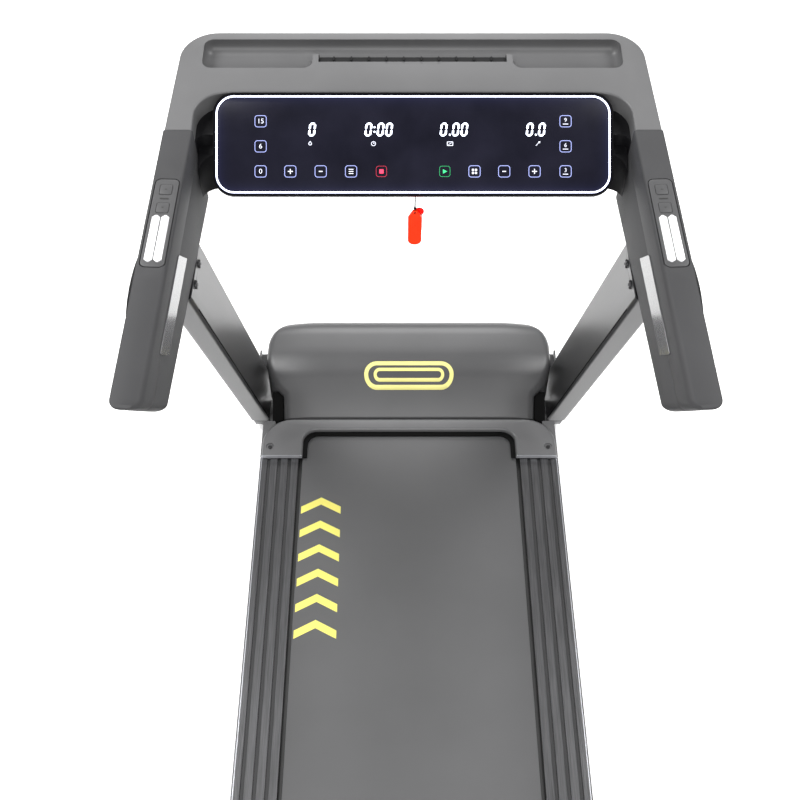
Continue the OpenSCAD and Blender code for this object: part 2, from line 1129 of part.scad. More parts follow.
module drive_motor() {
    color([0.2, 0.2, 0.22])
        difference() {
            union() {
                rod_x(-196, -46, motor_y, motor_z, 50);
                block(-190, -52, motor_y - 24, motor_y + 24, frame_z + 12, motor_z - 30);
            }
            rod_x(-200, -40, motor_y, motor_z, 8 + fit);
        }
}

module motor_pulley() {
    color("silver") {
        rod_x(-246, -38, motor_y, motor_z, 8);
        rod_x(pulley_x - pulley_w / 2, pulley_x + pulley_w / 2, motor_y, motor_z, motor_pulley_r);
    }
    color([0.3, 0.3, 0.3])
        rod_x(-217, -200, motor_y, motor_z, 54);
}

module motor_controller() {
    color([0.1, 0.3, 0.15])
        difference() {
            block(-20, 175, 600, 735, frame_z + 12, frame_z + 66);
            for (y = [615 : 12 : 723])
                block(0, 155, y, y + 5, frame_z + 60, frame_z + 70);
        }
}

module roller_axles() {
    color("silver")
        for (y = [front_roller_y, rear_roller_y])
            rod_x(-262, 262, y, roller_z, axle_r - fit);
}

module belt_adjusters() {
    color("silver")
        both() {
            rod_y(255, -834, rear_roller_y - 9, roller_z, 3);
            rod_y(255, -838, -833, roller_z, 6);
        }
}

module pulley_grooves(r) {
    for (k = [-1, 0, 1])
        difference() {
            rod_x(pulley_x + k * 3 - 0.8, pulley_x + k * 3 + 0.8, front_roller_y, roller_z, r + 1);
            rod_x(pulley_x + k * 3 - 1, pulley_x + k * 3 + 1, front_roller_y, roller_z, r - 1.2);
        }
}

// Hollow tube with a solid disc at each end, bored for its axle
module roller(y) {
    difference() {
        rod_x(-roller_l / 2, roller_l / 2, y, roller_z, roller_r);
        rod_x(-roller_l / 2 + 14, roller_l / 2 - 14, y, roller_z, roller_r - 4);
        rod_x(-roller_l / 2 - 1, roller_l / 2 + 1, y, roller_z, axle_r);
    }
}

module front_roller() {
    color("silver") {
        roller(front_roller_y);
        difference() {
            union() {
                rod_x(-roller_l / 2 - 4, -roller_l / 2, front_roller_y, roller_z, 14);
                rod_x(pulley_x - pulley_w / 2, pulley_x + pulley_w / 2, front_roller_y, roller_z,
                    pulley_r);
            }
            rod_x(-250, -200, front_roller_y, roller_z, axle_r);
            pulley_grooves(pulley_r);
        }
    }
}

module rear_roller() {
    color("silver")
        roller(rear_roller_y);
}

module drive_belt() {
    color("black")
        difference() {
            along_x(pulley_x - 5, pulley_x + 5)
                loop_outline(front_roller_y, roller_z, pulley_r + gap + drive_belt_t,
                    motor_y, motor_z, motor_pulley_r + gap + drive_belt_t);
            along_x(pulley_x - 6, pulley_x + 6)
                loop_outline(front_roller_y, roller_z, pulley_r + gap,
                    motor_y, motor_z, motor_pulley_r + gap);
        }
}

module rear_feet() {
    color("black")
        both()
            translate([266, -790, 0]) {
                cylinder(h = 20, r = 20);
                cylinder(h = frame_z, r = 12);
            }
}

module power_inlet() {
    color([0.08, 0.08, 0.08])
        difference() {
            block(196, 232, 779, 787, 94, 118);
            block(201, 227, 781, 790, 98, 114);
        }
    color("silver")
        for (x = [207, 214, 221])
            block(x - 1, x + 1, 780.5, 786, 103, 109);
}

module power_switch() {
    color([0.7, 0.05, 0.05])
        along_x(168, 186)
            translate([switch_y, switch_z])
                difference() {
                    circle(9);
                    translate([-12, -12])
                        square([11, 24]);
                }
}

base_frame();
base_feet();
upright_left();
upright_right();
upright_bolts();
handlebar_frame();
console_top_cover();
console_lower_cover();
display_glass();
display_light_frame();
device_pad();
grip_left();
grip_right();
grip_lower_shells();
grip_inlays();
keypad_bezels();
pulse_plates();
key_socket();
wheel_axles();
transport_wheel_left();
transport_wheel_right();
incline_frame();
fold_pins();
strut_bracket();
deck_frame();
running_board();
board_cushions();
running_belt();
side_rail_left();
side_rail_right();
rail_end_caps();
motor_hood();
hood_bezel();
hood_screws();
belly_pan();
drive_motor();
motor_controller();
roller_axles();
belt_adjusters();
drive_belt();
rear_feet();
power_inlet();
power_switch();
front_roller();
rear_roller();
motor_pulley();
actuator_body();
actuator_screw();
strut_cylinder();
strut_rod();
incline_up_button();
incline_down_button();
speed_up_button();
speed_down_button();
safety_key();
safety_cord();
clip_front_jaw();
clip_back_jaw();
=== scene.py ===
"""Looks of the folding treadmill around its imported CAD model. Pieces are drawn in millimetres."""
import json
import math

import bmesh
import bpy
from mathutils import Matrix, Vector


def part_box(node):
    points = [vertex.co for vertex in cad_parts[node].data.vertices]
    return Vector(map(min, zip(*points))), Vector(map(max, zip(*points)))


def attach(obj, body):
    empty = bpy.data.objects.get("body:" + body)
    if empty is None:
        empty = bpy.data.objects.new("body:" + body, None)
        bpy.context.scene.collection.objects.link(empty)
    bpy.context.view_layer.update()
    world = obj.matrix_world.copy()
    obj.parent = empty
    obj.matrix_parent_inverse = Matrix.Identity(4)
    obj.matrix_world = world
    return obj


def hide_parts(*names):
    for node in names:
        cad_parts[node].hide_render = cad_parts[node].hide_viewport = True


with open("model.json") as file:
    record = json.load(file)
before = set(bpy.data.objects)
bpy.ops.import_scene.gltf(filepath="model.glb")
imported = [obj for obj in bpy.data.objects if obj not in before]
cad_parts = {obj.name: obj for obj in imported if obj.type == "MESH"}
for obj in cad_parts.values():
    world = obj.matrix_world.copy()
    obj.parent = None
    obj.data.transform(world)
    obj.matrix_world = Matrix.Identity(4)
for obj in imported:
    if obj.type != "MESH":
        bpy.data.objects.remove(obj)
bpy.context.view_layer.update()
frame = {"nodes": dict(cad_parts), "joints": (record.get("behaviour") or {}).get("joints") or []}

MM = 0.001
GAP = 0.3
TO_METRES = Matrix.Scale(MM, 4)
MIRROR = Matrix.Scale(-1, 4, (1, 0, 0))
joints = {joint["name"]: joint for joint in frame["joints"]}


def box(node):
    """Low and high corner of a CAD node, in millimetres like every piece until it is finished."""
    return [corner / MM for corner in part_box(node)]


def linked(name, data):
    """A new object in the scene."""
    made = bpy.data.objects.new(name, data)
    bpy.context.scene.collection.objects.link(made)
    return made


# ---- camera and cord, which come first ----

def make_camera():
    """The photograph's viewpoint: above the rear of the deck, looking down at the console."""
    pitch, turn, roll = math.radians(52.389), math.radians(0.14), math.radians(0.09)
    data = bpy.data.cameras.new("camera")
    data.lens = 51.75
    data.sensor_width = 36
    camera = linked("camera", data)
    look = Vector((math.sin(turn) * math.cos(pitch), math.cos(turn) * math.cos(pitch), -math.sin(pitch)))
    aim = look.to_track_quat("-Z", "Y").to_matrix().to_4x4()
    place = Vector((-0.0226, -0.9161, 2.1380))
    camera.matrix_world = Matrix.Translation(place) @ aim @ Matrix.Rotation(roll, 4, "Z")
    bpy.context.scene.camera = camera


make_camera()

CORD_ROUTE = [(4, 442, 911.9), (4, 440.2, 908.4), (4, 438.6, 904.4), (4, 437.5, 900.2), (4, 436.9, 896),
              (4, 436.6, 891.5), (4, 436.6, 885), (4, 436.6, 877), (4, 436.6, 867), (4, 436.6, 857)]
CORD_R = 1.0 * MM


# ---- materials ----

def tune(node, **values):
    """Sets settings and inputs of a node; an underscore stands for the space in an input's name."""
    for key, value in values.items():
        if hasattr(node, key):
            setattr(node, key, value)
        else:
            node.inputs[key.replace("_", " ")].default_value = value
    return node


def node_of(tree, kind, **values):
    return tune(tree.nodes.new(kind), **values)


def noise(tree, scale, detail=2.0, stretch=(1, 1, 1)):
    """Noise in each object's own frame, in metres, so a grain has the same size on every piece."""
    where = node_of(tree, "ShaderNodeTexCoord")
    fit = node_of(tree, "ShaderNodeMapping", Scale=stretch)
    grain = node_of(tree, "ShaderNodeTexNoise", Scale=scale, Detail=detail)
    tree.links.new(where.outputs["Object"], fit.inputs["Vector"])
    tree.links.new(fit.outputs["Vector"], grain.inputs["Vector"])
    return grain.outputs["Fac"]


def ramp(tree, source, low, high, start=0.3, end=0.7):
    band = node_of(tree, "ShaderNodeValToRGB")
    band.color_ramp.elements[0].position = start
    band.color_ramp.elements[1].position = end
    band.color_ramp.elements[0].color = low
    band.color_ramp.elements[1].color = high
    tree.links.new(source, band.inputs["Fac"])
    return band.outputs["Color"]


def surface(name, color, rough, metal=0.0, grain=900.0, bump=0.15, depth=0.1, mottle=0.06, coat=0.0,
            stretch=(1, 1, 1), rough_spread=0.06, specular=0.5, detail=3.0, large=9.0):
    """A procedural finish: mottled colour, uneven gloss and a fine bump of depth millimetres."""
    material = bpy.data.materials.new(name)
    material.use_nodes = True
    tree = material.node_tree
    shader = tune(tree.nodes["Principled BSDF"], Metallic=metal, Coat_Weight=coat, Coat_Roughness=0.08,
                  Specular_IOR_Level=specular)
    broad = noise(tree, large, 4.0, stretch)
    fine = noise(tree, grain, detail, stretch)
    dark = [c * (1 - mottle) for c in color] + [1]
    light = [c * (1 + mottle) for c in color] + [1]
    tree.links.new(ramp(tree, broad, dark, light), shader.inputs["Base Color"])
    spread = node_of(tree, "ShaderNodeMapRange", To_Min=max(0.02, rough - rough_spread),
                     To_Max=min(1.0, rough + rough_spread))
    tree.links.new(fine, spread.inputs["Value"])
    tree.links.new(spread.outputs["Result"], shader.inputs["Roughness"])
    relief = node_of(tree, "ShaderNodeBump", Strength=bump, Distance=depth * MM)
    tree.links.new(fine, relief.inputs["Height"])
    tree.links.new(relief.outputs["Normal"], shader.inputs["Normal"])
    return material


def lit_plastic(name, color, strength):
    """Translucent plastic: a faint glow stands for the light scattered inside it."""
    material = surface(name, color, 0.30, grain=500, bump=0.12, depth=0.2, specular=0.25, mottle=0.10,
                       large=60.0)
    tune(material.node_tree.nodes["Principled BSDF"], Emission_Color=list(color) + [1],
         Emission_Strength=strength)
    return material


def glow(name, color, strength):
    """A lit mark: coloured light of slightly uneven brightness."""
    material = surface(name, [0.5 * c for c in color], 0.4, grain=300)
    tree = material.node_tree
    shader = tune(tree.nodes["Principled BSDF"], Emission_Strength=strength)
    uneven = ramp(tree, noise(tree, 60, 1.0), [0.92 * c for c in color] + [1], list(color) + [1])
    tree.links.new(uneven, shader.inputs["Emission Color"])
    return material


def math_node(tree, operation, first, second=0.0):
    made = node_of(tree, "ShaderNodeMath", operation=operation)
    for socket, value in zip(made.inputs, (first, second)):
        if isinstance(value, (int, float)):
            socket.default_value = value
        else:
            tree.links.new(value, socket)
    return made.outputs["Value"]


def belt_surface():
    """Rubber running belt with a fine diamond weave pressed into it."""
    material = surface("belt_rubber", (0.098, 0.098, 0.100), 0.6, grain=1500, bump=0.35, depth=0.25,
                       mottle=0.10, large=3.0)
    tree = material.node_tree
    where = node_of(tree, "ShaderNodeTexCoord")
    weave = []
    for angle in (math.radians(45), math.radians(-45)):
        turn = node_of(tree, "ShaderNodeMapping")
        turn.inputs["Rotation"].default_value[2] = angle
        wave = node_of(tree, "ShaderNodeTexWave", Scale=220.0, Distortion=0.4)
        tree.links.new(where.outputs["Object"], turn.inputs["Vector"])
        tree.links.new(turn.outputs["Vector"], wave.inputs["Vector"])
        weave.append(wave.outputs["Fac"])
    relief = node_of(tree, "ShaderNodeBump", Strength=0.3, Distance=0.3 * MM)
    shader = tree.nodes["Principled BSDF"]
    under = shader.inputs["Normal"].links[0].from_socket
    tree.links.new(math_node(tree, "MULTIPLY", *weave), relief.inputs["Height"])
    tree.links.new(under, relief.inputs["Normal"])
    tree.links.new(relief.outputs["Normal"], shader.inputs["Normal"])
    return material


def panel_surface(half_w, half_h, corner):
    """Black glass, lit through near its border: the light falls off from a rounded rectangle."""
    material = surface("display_black", (0.008, 0.008, 0.013), 0.22, grain=400, bump=0.02, mottle=0.3,
                       specular=0.10, rough_spread=0.04, large=14.0)
    tree = material.node_tree
    shader = tune(tree.nodes["Principled BSDF"], Emission_Strength=0.55)
    where = node_of(tree, "ShaderNodeTexCoord")
    split = node_of(tree, "ShaderNodeSeparateXYZ")
    tree.links.new(where.outputs["Object"], split.inputs["Vector"])
    beyond = []
    for axis, half in (("X", half_w), ("Y", half_h)):
        far = math_node(tree, "ABSOLUTE", split.outputs[axis])
        out = math_node(tree, "SUBTRACT", far, half - corner)
        beyond.append(math_node(tree, "MAXIMUM", out, 0.0))
    squares = [math_node(tree, "MULTIPLY", b, b) for b in beyond]
    reach = math_node(tree, "SQRT", math_node(tree, "ADD", *squares))
    inside = math_node(tree, "SUBTRACT", corner, reach)
    fade = math_node(tree, "POWER", 2.718, math_node(tree, "DIVIDE", inside, -7.0 * MM))
    haze = ramp(tree, noise(tree, 16, 3.0), (0.003, 0.003, 0.008, 1), (0.009, 0.008, 0.018, 1))
    light = node_of(tree, "ShaderNodeMix", data_type="RGBA")
    light.inputs[7].default_value = (0.035, 0.04, 0.13, 1)
    tree.links.new(fade, light.inputs[0])
    tree.links.new(haze, light.inputs[6])
    tree.links.new(light.outputs[2], shader.inputs["Emission Color"])
    return material


paint = {
    "cover": surface("console_plastic", (0.110, 0.110, 0.112), 0.46, grain=1400, bump=0.25, depth=0.12),
    "shell": surface("shell_plastic", (0.030, 0.030, 0.033), 0.40, grain=1200, bump=0.3, depth=0.15),
    "under": surface("under_plastic", (0.006, 0.006, 0.007), 0.5, grain=1200, bump=0.3, depth=0.15,
                     specular=0.14),
    "grip": surface("grip_plastic", (0.042, 0.042, 0.044), 0.6, grain=1100, specular=0.35, bump=0.55,
                    depth=0.3, mottle=0.08, detail=4.0),
    "key": surface("keypad_plastic", (0.055, 0.055, 0.057), 0.5, grain=1600, bump=0.25),
    "key_mark": surface("key_mark_ink", (0.02, 0.02, 0.02), 0.5, grain=1600),
    "hood": surface("hood_plastic", (0.075, 0.075, 0.077), 0.38, grain=1500, bump=0.22, depth=0.12,
                    mottle=0.07, rough_spread=0.05),
    "bezel": surface("bezel_plastic", (0.135, 0.135, 0.138), 0.34, grain=1500, bump=0.2),
    "upright": surface("upright_paint", (0.030, 0.030, 0.032), 0.34, grain=700, bump=0.05,
                       mottle=0.05, rough_spread=0.03, specular=0.45),
    "frame": surface("frame_paint", (0.035, 0.035, 0.037), 0.38, grain=500, bump=0.35, depth=0.2),
    # seam: near-black paint; on the upright groove strips, the hood waist plates and the band inside the
    # bezel it is painted shade, on the grips' cap marks a dark mark.
    "seam": surface("shade_and_mark_black", (0.005, 0.005, 0.005), 0.7, grain=700, specular=0.08),
    "rubber": surface("foot_rubber", (0.020, 0.020, 0.021), 0.75, grain=600, bump=0.4, depth=0.3),
    "pad": surface("pad_rubber", (0.012, 0.012, 0.0125), 0.8, grain=600, bump=0.4, depth=0.3, specular=0.2),
    "steel": surface("turned_steel", (0.52, 0.52, 0.53), 0.28, metal=1.0, grain=300, bump=0.12,
                     stretch=(1, 25, 25)),
    "dark_steel": surface("blackened_steel", (0.05, 0.05, 0.052), 0.32, metal=0.7, grain=600, bump=0.1),
    "chrome": surface("contact_steel", (0.93, 0.93, 0.94), 0.38, metal=0.35, grain=300, bump=0.03,
                      mottle=0.03, rough_spread=0.03, stretch=(40, 1, 40)),
    "inlay": surface("inlay_plastic", (0.10, 0.10, 0.105), 0.16, grain=300, bump=0.03, coat=0.3,
                     mottle=0.08, specular=0.7, rough_spread=0.03),
    "bow": surface("bow_gloss", (0.004, 0.004, 0.005), 0.35, grain=300, bump=0.02, specular=0.08),
    "light": glow("border_light", (0.78, 0.82, 1.0), 3.2),
    "digit": glow("digit_light", (0.80, 0.86, 1.0), 3.4),
    "icon": glow("key_light", (0.42, 0.48, 0.95), 0.8),
    "symbol": glow("symbol_light", (0.85, 0.88, 1.0), 1.1),
    "stop": glow("stop_light", (0.95, 0.05, 0.12), 1.4),
    "start": glow("start_light", (0.05, 0.75, 0.25), 1.1),
    "stop_dim": glow("stop_dim_light", (0.95, 0.05, 0.12), 0.10),
    "start_dim": glow("start_dim_light", (0.05, 0.75, 0.25), 0.10),
    # rim: light metal paint for the thin strips that are painted highlights on the rails' outer edges and on
    # the bezel legs' rear ends.
    "rim": surface("painted_highlight_metal", (0.75, 0.76, 0.80), 0.22, metal=0.6, grain=400, bump=0.04),
    # Near-black board: a dark laminate, made dark enough to be painted shade in the gap between belt and
    # rail where the board shows.
    "board_black": surface("board_laminate_and_gap_shade", (0.012, 0.012, 0.012), 0.6, grain=60, bump=0.3, depth=0.4,
                           mottle=0.3, stretch=(8, 1, 8)),
    "belt": belt_surface(),
    "rail": surface("rail_aluminium", (0.075, 0.075, 0.078), 0.34, metal=0.35, grain=220, bump=0.3,
                    depth=0.12, mottle=0.35, stretch=(30, 0.6, 30), large=24.0),
    # groove: darker paint for the strips on the rail groove bottoms: painted shade in those recesses.
    "groove": surface("rail_groove", (0.022, 0.022, 0.023), 0.5, metal=0.2, grain=220, bump=0.3,
                      stretch=(30, 0.6, 30)),
    "cap": surface("cap_plastic", (0.030, 0.030, 0.031), 0.55, bump=0.4, depth=0.25),
    "motor": surface("motor_paint", (0.022, 0.022, 0.024), 0.3, grain=500, bump=0.2, coat=0.3),
    "controller": surface("controller_plastic", (0.030, 0.095, 0.050), 0.45, grain=600, bump=0.25),
    "switch": surface("switch_plastic", (0.55, 0.015, 0.015), 0.22, grain=700, coat=0.4),
    "clip": lit_plastic("key_plastic", (0.90, 0.035, 0.005), 0.30),
    "clip_red": lit_plastic("key_plastic_red", (0.85, 0.004, 0.001), 0.25),
    "cord": surface("cord_fabric", (0.004, 0.004, 0.004), 0.8, grain=2600, bump=0.8, depth=0.3,
                    specular=0.05),
    "yellow": surface("mark_yellow", (0.86, 0.79, 0.16), 0.5, grain=1300, bump=0.25, mottle=0.05),
    "pale_yellow": surface("mark_pale_yellow", (0.86, 0.80, 0.27), 0.45, grain=1300, bump=0.2, mottle=0.05),
}


# ---- mesh helpers ----

def arc(center, radius, start, end, steps=10):
    """Points of an arc, angles in degrees."""
    turns = [math.radians(start + (end - start) * i / steps) for i in range(steps + 1)]
    return [(center[0] + radius * math.cos(t), center[1] + radius * math.sin(t)) for t in turns]


def rounded_box(width, height, radius, center=(0, 0), steps=8):
    """Outline of a rectangle with round corners, anticlockwise."""
    x, y = width / 2 - radius, height / 2 - radius
    corners = [((x, y), 0), ((-x, y), 90), ((-x, -y), 180), ((x, -y), 270)]
    points = []
    for (cx, cy), start in corners:
        points += arc((center[0] + cx, center[1] + cy), radius, start, start + 90, steps)
    return points


def disc(radius, count=24):
    """Outline of a circle round the origin."""
    return arc((0, 0), radius, 0, 360 - 360 / count, count - 1)


def prism(outline, low, high):
    mesh = bmesh.new()
    base = mesh.faces.new([mesh.verts.new((x, y, low)) for x, y in outline])
    grown = bmesh.ops.extrude_face_region(mesh, geom=[base])["geom"]
    top = [g for g in grown if isinstance(g, bmesh.types.BMVert)]
    bmesh.ops.translate(mesh, verts=top, vec=(0, 0, high - low))
    bmesh.ops.recalc_face_normals(mesh, faces=mesh.faces)
    return mesh


def round_rim(mesh, height, radius, keep=lambda point: False, segments=4):
    """Rounds the edges of the flat face at that height, apart from those that keep() names."""
    rim = [e for e in mesh.edges
           if all(abs(v.co.z - height) < 1e-3 for v in e.verts)
           and len(e.link_faces) == 2
           and e.calc_face_angle(0) > 0.5
           and not all(keep(v.co) for v in e.verts)]
    bmesh.ops.bevel(mesh, geom=rim, offset=radius, segments=segments, profile=0.5, affect="EDGES",
                    clamp_overlap=True)


def object_from(mesh, name):
    data = bpy.data.meshes.new(name)
    mesh.to_mesh(data)
    mesh.free()
    return linked(name, data)


def evaluated(made):
    """Applies every modifier of the object."""
    graph = bpy.context.evaluated_depsgraph_get()
    data = bpy.data.meshes.new_from_object(made.evaluated_get(graph))
    made.modifiers.clear()
    made.data = data


def cut(made, meshes):
    """Takes the volumes of these meshes off the object."""
    cutters = [object_from(mesh, "cutter") for mesh in meshes]
    for cutter in cutters:
        step = made.modifiers.new("cut", "BOOLEAN")
        step.operation = "DIFFERENCE"
        step.solver = "EXACT"
        step.object = cutter
    bpy.context.view_layer.update()
    evaluated(made)
    for cutter in cutters:
        bpy.data.objects.remove(cutter)
    return made


def bevel(made, width, angle=38, segments=3):
    """Rounds the edges sharper than angle by width millimetres."""
    step = made.modifiers.new("bevel", "BEVEL")
    step.width = width * MM
    step.segments = segments
    step.limit_method = "ANGLE"
    step.angle_limit = math.radians(angle)


def smooth(made, angle=32):
    made.data.polygons.foreach_set("use_smooth", [True] * len(made.data.polygons))
    made.data.set_sharp_from_angle(angle=math.radians(angle))


def mirrored(made, name):
    """A copy on the other side of the machine's middle plane."""
    data = made.data.copy()
    data.transform(MIRROR)
    data.flip_normals()
    copy = linked(name, data)
    for step in made.modifiers:
        twin = copy.modifiers.new(step.name, step.type)
        for key in ("width", "segments", "limit_method", "angle_limit"):
            setattr(twin, key, getattr(step, key))
    return copy


def finish_piece(made, body, look, replaces=(), place=None, angle=32):
    """Paints a piece, puts its mesh in place in metres and lets it ride on its body."""
    made.data.transform(TO_METRES if place is None else TO_METRES @ place)
    made.data.materials.clear()
    made.data.materials.append(paint[look])
    smooth(made, angle)
    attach(made, body)
    if replaces:
        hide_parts(*replaces)


def both_sides(made, name, body, look, replaces=((), ()), place=None, angle=32):
    """Finishes a right-hand bmesh or object and its mirror image; replaces says left, then right."""
    if isinstance(made, bmesh.types.BMesh):
        made = object_from(made, name)
    if place is not None:
        made.data.transform(place)
    twin = mirrored(made, name + "_left")
    made.name = name + "_right"
    for piece, nodes in zip((twin, made), replaces):
        finish_piece(piece, body, look, nodes, angle=angle)


def loft(sections, closed=False, around=True):
    """Skins a row of sections with as many points each. closed joins the last section to the first
    instead of capping both; around joins the last point of each section to its first."""
    mesh = bmesh.new()
    rings = [[mesh.verts.new(p) for p in section] for section in sections]
    count = len(rings[0])
    for near, far in zip(rings, rings[1:] + (rings[:1] if closed else [])):
        for i in range(count if around else count - 1):
            j = (i + 1) % count
            mesh.faces.new((near[i], near[j], far[j], far[i]))
    if not closed:
        mesh.faces.new(rings[0])
        mesh.faces.new(rings[-1])
    bmesh.ops.recalc_face_normals(mesh, faces=mesh.faces)
    return mesh


def ring_band(outer, inner, low, high):
    """A flat band between two outlines with as many points each."""
    edges = ((outer, high), (inner, high), (inner, low), (outer, low))
    return loft([[(x, y, z) for x, y in line] for line, z in edges], closed=True)


def joined(meshes, name):
    """One object from several bmeshes."""
    whole = bmesh.new()
    for mesh in meshes:
        data = bpy.data.meshes.new("part")
        mesh.to_mesh(data)
        mesh.free()
        whole.from_mesh(data)
        bpy.data.meshes.remove(data)
    return object_from(whole, name)


def moved(mesh, place):
    """The same bmesh, put in its place."""
    bmesh.ops.transform(mesh, matrix=place, verts=mesh.verts)
    return mesh


def at(x=0.0, y=0.0, z=0.0):
    return Matrix.Translation((x, y, z))


# ---- frames of the design, found from the CAD model ----

cover_low = box("console_top_cover")[0]
press_axis = joints["speed_up_press"]["axis"]
BAR_TILT = math.asin(press_axis[1])
COVER_T = 30
BARS = (at(0, cover_low.y, cover_low.z + COVER_T * math.cos(BAR_TILT)) @ Matrix.Rotation(BAR_TILT, 4, "X"))
GRIP_YAW = math.radians(2.34)
GRIP = BARS @ at(351.5) @ Matrix.Rotation(GRIP_YAW, 4, "Z")
GRIP_W = 44
GRIP_L = 488
KEYPAD_Y = -178
BUTTON_ROWS = (-118, -152)
CONTACT_X = (-6.6, 6.6)
CONTACT_Y = -208

PANEL_TILT = math.radians(37.5)
glass_low, glass_high = box("display_glass")
PANEL = (at(0, glass_low.y - 3 * math.cos(PANEL_TILT) + 4.6 * math.sin(PANEL_TILT),
            glass_low.z - 3 * math.sin(PANEL_TILT) + 3 * math.cos(PANEL_TILT))
         @ Matrix.Rotation(PANEL_TILT, 4, "X"))
PANEL_W = glass_high.x - glass_low.x
PANEL_H = 150
PANEL_Y = 78
PANEL_R = 29
PANEL_TOP = 4.6
LEAN = math.radians(25.2)
SCREW_X = (-290, 290)
SCREW_Y = 472
UP = Matrix.Rotation(math.radians(90), 4, "X")
ACROSS = Matrix.Rotation(math.radians(90), 4, "Y")


# ---- safety cord, key and clip ----

def make_cord():
    curve = bpy.data.curves.new("safety_cord_line", "CURVE")
    curve.dimensions = "3D"
    curve.bevel_depth = CORD_R
    curve.bevel_resolution = 3
    curve.use_fill_caps = True
    line = curve.splines.new("POLY")
    line.points.add(len(CORD_ROUTE) - 1)
    for point, place in zip(line.points, CORD_ROUTE):
        point.co = [c * MM for c in place] + [1]
    cord = linked("safety_cord_line", curve)
    curve.materials.append(paint["cord"])
    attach(cord, "key")
    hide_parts("safety_cord")
    return cord


def make_clip():
    """Two rounded jaws of translucent plastic on a hinge pin; the cord is tied through the front one."""
    low, high = box("clip_front_jaw")
    middle = (low + high) / 2
    jaw_y = (434.8, 438.4)
    size = Vector((22, jaw_y[1] - jaw_y[0], high.z - low.z))
    outline = rounded_box(size.x, size.z, 10.5)
    above = size.z / 2 + 1
    corner = [(2.5, above), (12, above - 17), (12, above)]
    front = prism(outline, -size.y / 2, size.y / 2)
    jaw = object_from(front, "clip_front")
    eye = moved(prism(disc(2.0), -9, 9), at(0, size.z / 2 - 5))
    slopes = [prism([(side * x, y) for x, y in corner], -9, 9) for side in (-1, 1)]
    slot_cut = prism(rounded_box(9, 2.4, 1.1, (0, -16)), -9, -size.y / 2 + 1)
    cut(jaw, [eye, *slopes, slot_cut])
    bevel(jaw, 1.1, 50)
    place = at(4, sum(jaw_y) / 2, middle.z) @ UP
    finish_piece(jaw, "key", "clip", ["clip_front_jaw"], place)

    hinge = Vector(joints["clip_open"]["pos_m"]) / MM
    across = at(*hinge) @ ACROSS
    pin = moved(prism(disc(0.8), -8, 8), across)
    ears = [moved(prism(disc(1.5), x, x + 2), across) for x in (-8.6, 6.6)]
    finish_piece(joined([pin] + ears, "clip_pin"), "key", "steel")
    knot = prism(disc(2.1, 12), -1.6, 1.6)
    round_rim(knot, -1.6, 1, segments=2)
    round_rim(knot, 1.6, 1, segments=2)
    finish_piece(object_from(knot, "cord_knot"), "key", "cord", place=at(4, 436.6, 880))

    low, high = box("clip_back_jaw")
    middle = (low + high) / 2
    pad_t = 3
    pad = moved(prism(disc(7.6, 40), -pad_t / 2, pad_t / 2), at(4, 20.4))
    tongue = prism(rounded_box(9, 40, 3, (4.2, -2)), -pad_t / 2, pad_t / 2)
    for mesh in (pad, tongue):
        round_rim(mesh, -pad_t / 2, 1.1)
        round_rim(mesh, pad_t / 2, 1.1)
    barrel = moved(prism(disc(1.7), -6, 6),
                   at(-1, hinge.z - middle.z, high.y - pad_t / 2 - hinge.y) @ ACROSS)
    back = joined([pad, tongue, barrel], "clip_back")
    place = at(middle.x, high.y - pad_t / 2, middle.z)
    finish_piece(back, "clip_jaw", "clip_red", ["clip_back_jaw"], place @ UP)
    return jaw, back


cord = make_cord()
clip_front, clip_back = make_clip()


# ---- console ----

def both_halves(half):
    """A closed outline from its right half."""
    return half + [(-x, y) for x, y in reversed(half)]


def make_top_cover():
    """Inverted U with two pockets joined by a strip, and a slot for a device."""
    half = arc((286, 33), 45, 90, 0, 12) + [(331, GAP), (372, GAP)]
    half += arc((306.4, 155), 58, 0, 90, 16)
    mesh = prism(both_halves(half), -COVER_T, 0)
    round_rim(mesh, 0, 3.5, keep=lambda p: p.y < 1, segments=5)
    cover = object_from(mesh, "console_cover")

    floor = -21.8
    pockets = [(656, 34, 0, 179, 0), (172, 64, -242, 164, 0.2), (172, 64, 242, 164, 0.2)]
    for width, depth, x, y, sink in pockets:
        low = floor - sink
        pocket = prism(rounded_box(width, depth, 15), low, 12)
        round_rim(pocket, low, 14, segments=8)
        cut(cover, [moved(pocket, at(x, y))])
    ledge = [(-147, 145), (-48, 145), (-44, 141), (44, 141), (48, 145), (147, 145), (147, 158), (-147, 158)]
    ledge_cut = prism(ledge, -5, 12)
    slot_cut = moved(prism(rounded_box(294, 11, 2), -21.4, 12), at(0, 156.6))
    cut(cover, [ledge_cut])
    cut(cover, [slot_cut])
    bevel(cover, 1.2, angle=50)
    finish_piece(cover, "stand", "cover", ["console_top_cover"], BARS, angle=40)


def make_device_pad():
    """Ribbed rubber strip at the bottom of the device slot."""
    low, high = -21.3, -5.6
    parts = [moved(prism(rounded_box(292, 10, 1.5), low, high), at(0, 156.6))]
    for i in range(-5, 5):
        rib = prism(rounded_box(2.4, 9, 0.9), high - 0.1, -3)
        round_rim(rib, -3, 0.5, segments=2)
        parts.append(moved(rib, at((i + 0.5) * 27.4, 156.6)))
    pad = joined(parts, "device_slot_pad")
    finish_piece(pad, "stand", "pad", ["device_pad"], BARS)


make_top_cover()
make_device_pad()


def soften(node, width, look, segments=2, angle=35):
    """A carried-over CAD node: rounded edges and a procedural finish."""
    made = frame["nodes"][node]
    weld = made.modifiers.new("weld", "WELD")
    weld.merge_threshold = 0.01 * MM
    if width:
        bevel(made, width, angle, segments)
    made.data.materials.clear()
    made.data.materials.append(paint[look])
    smooth(made, 34)


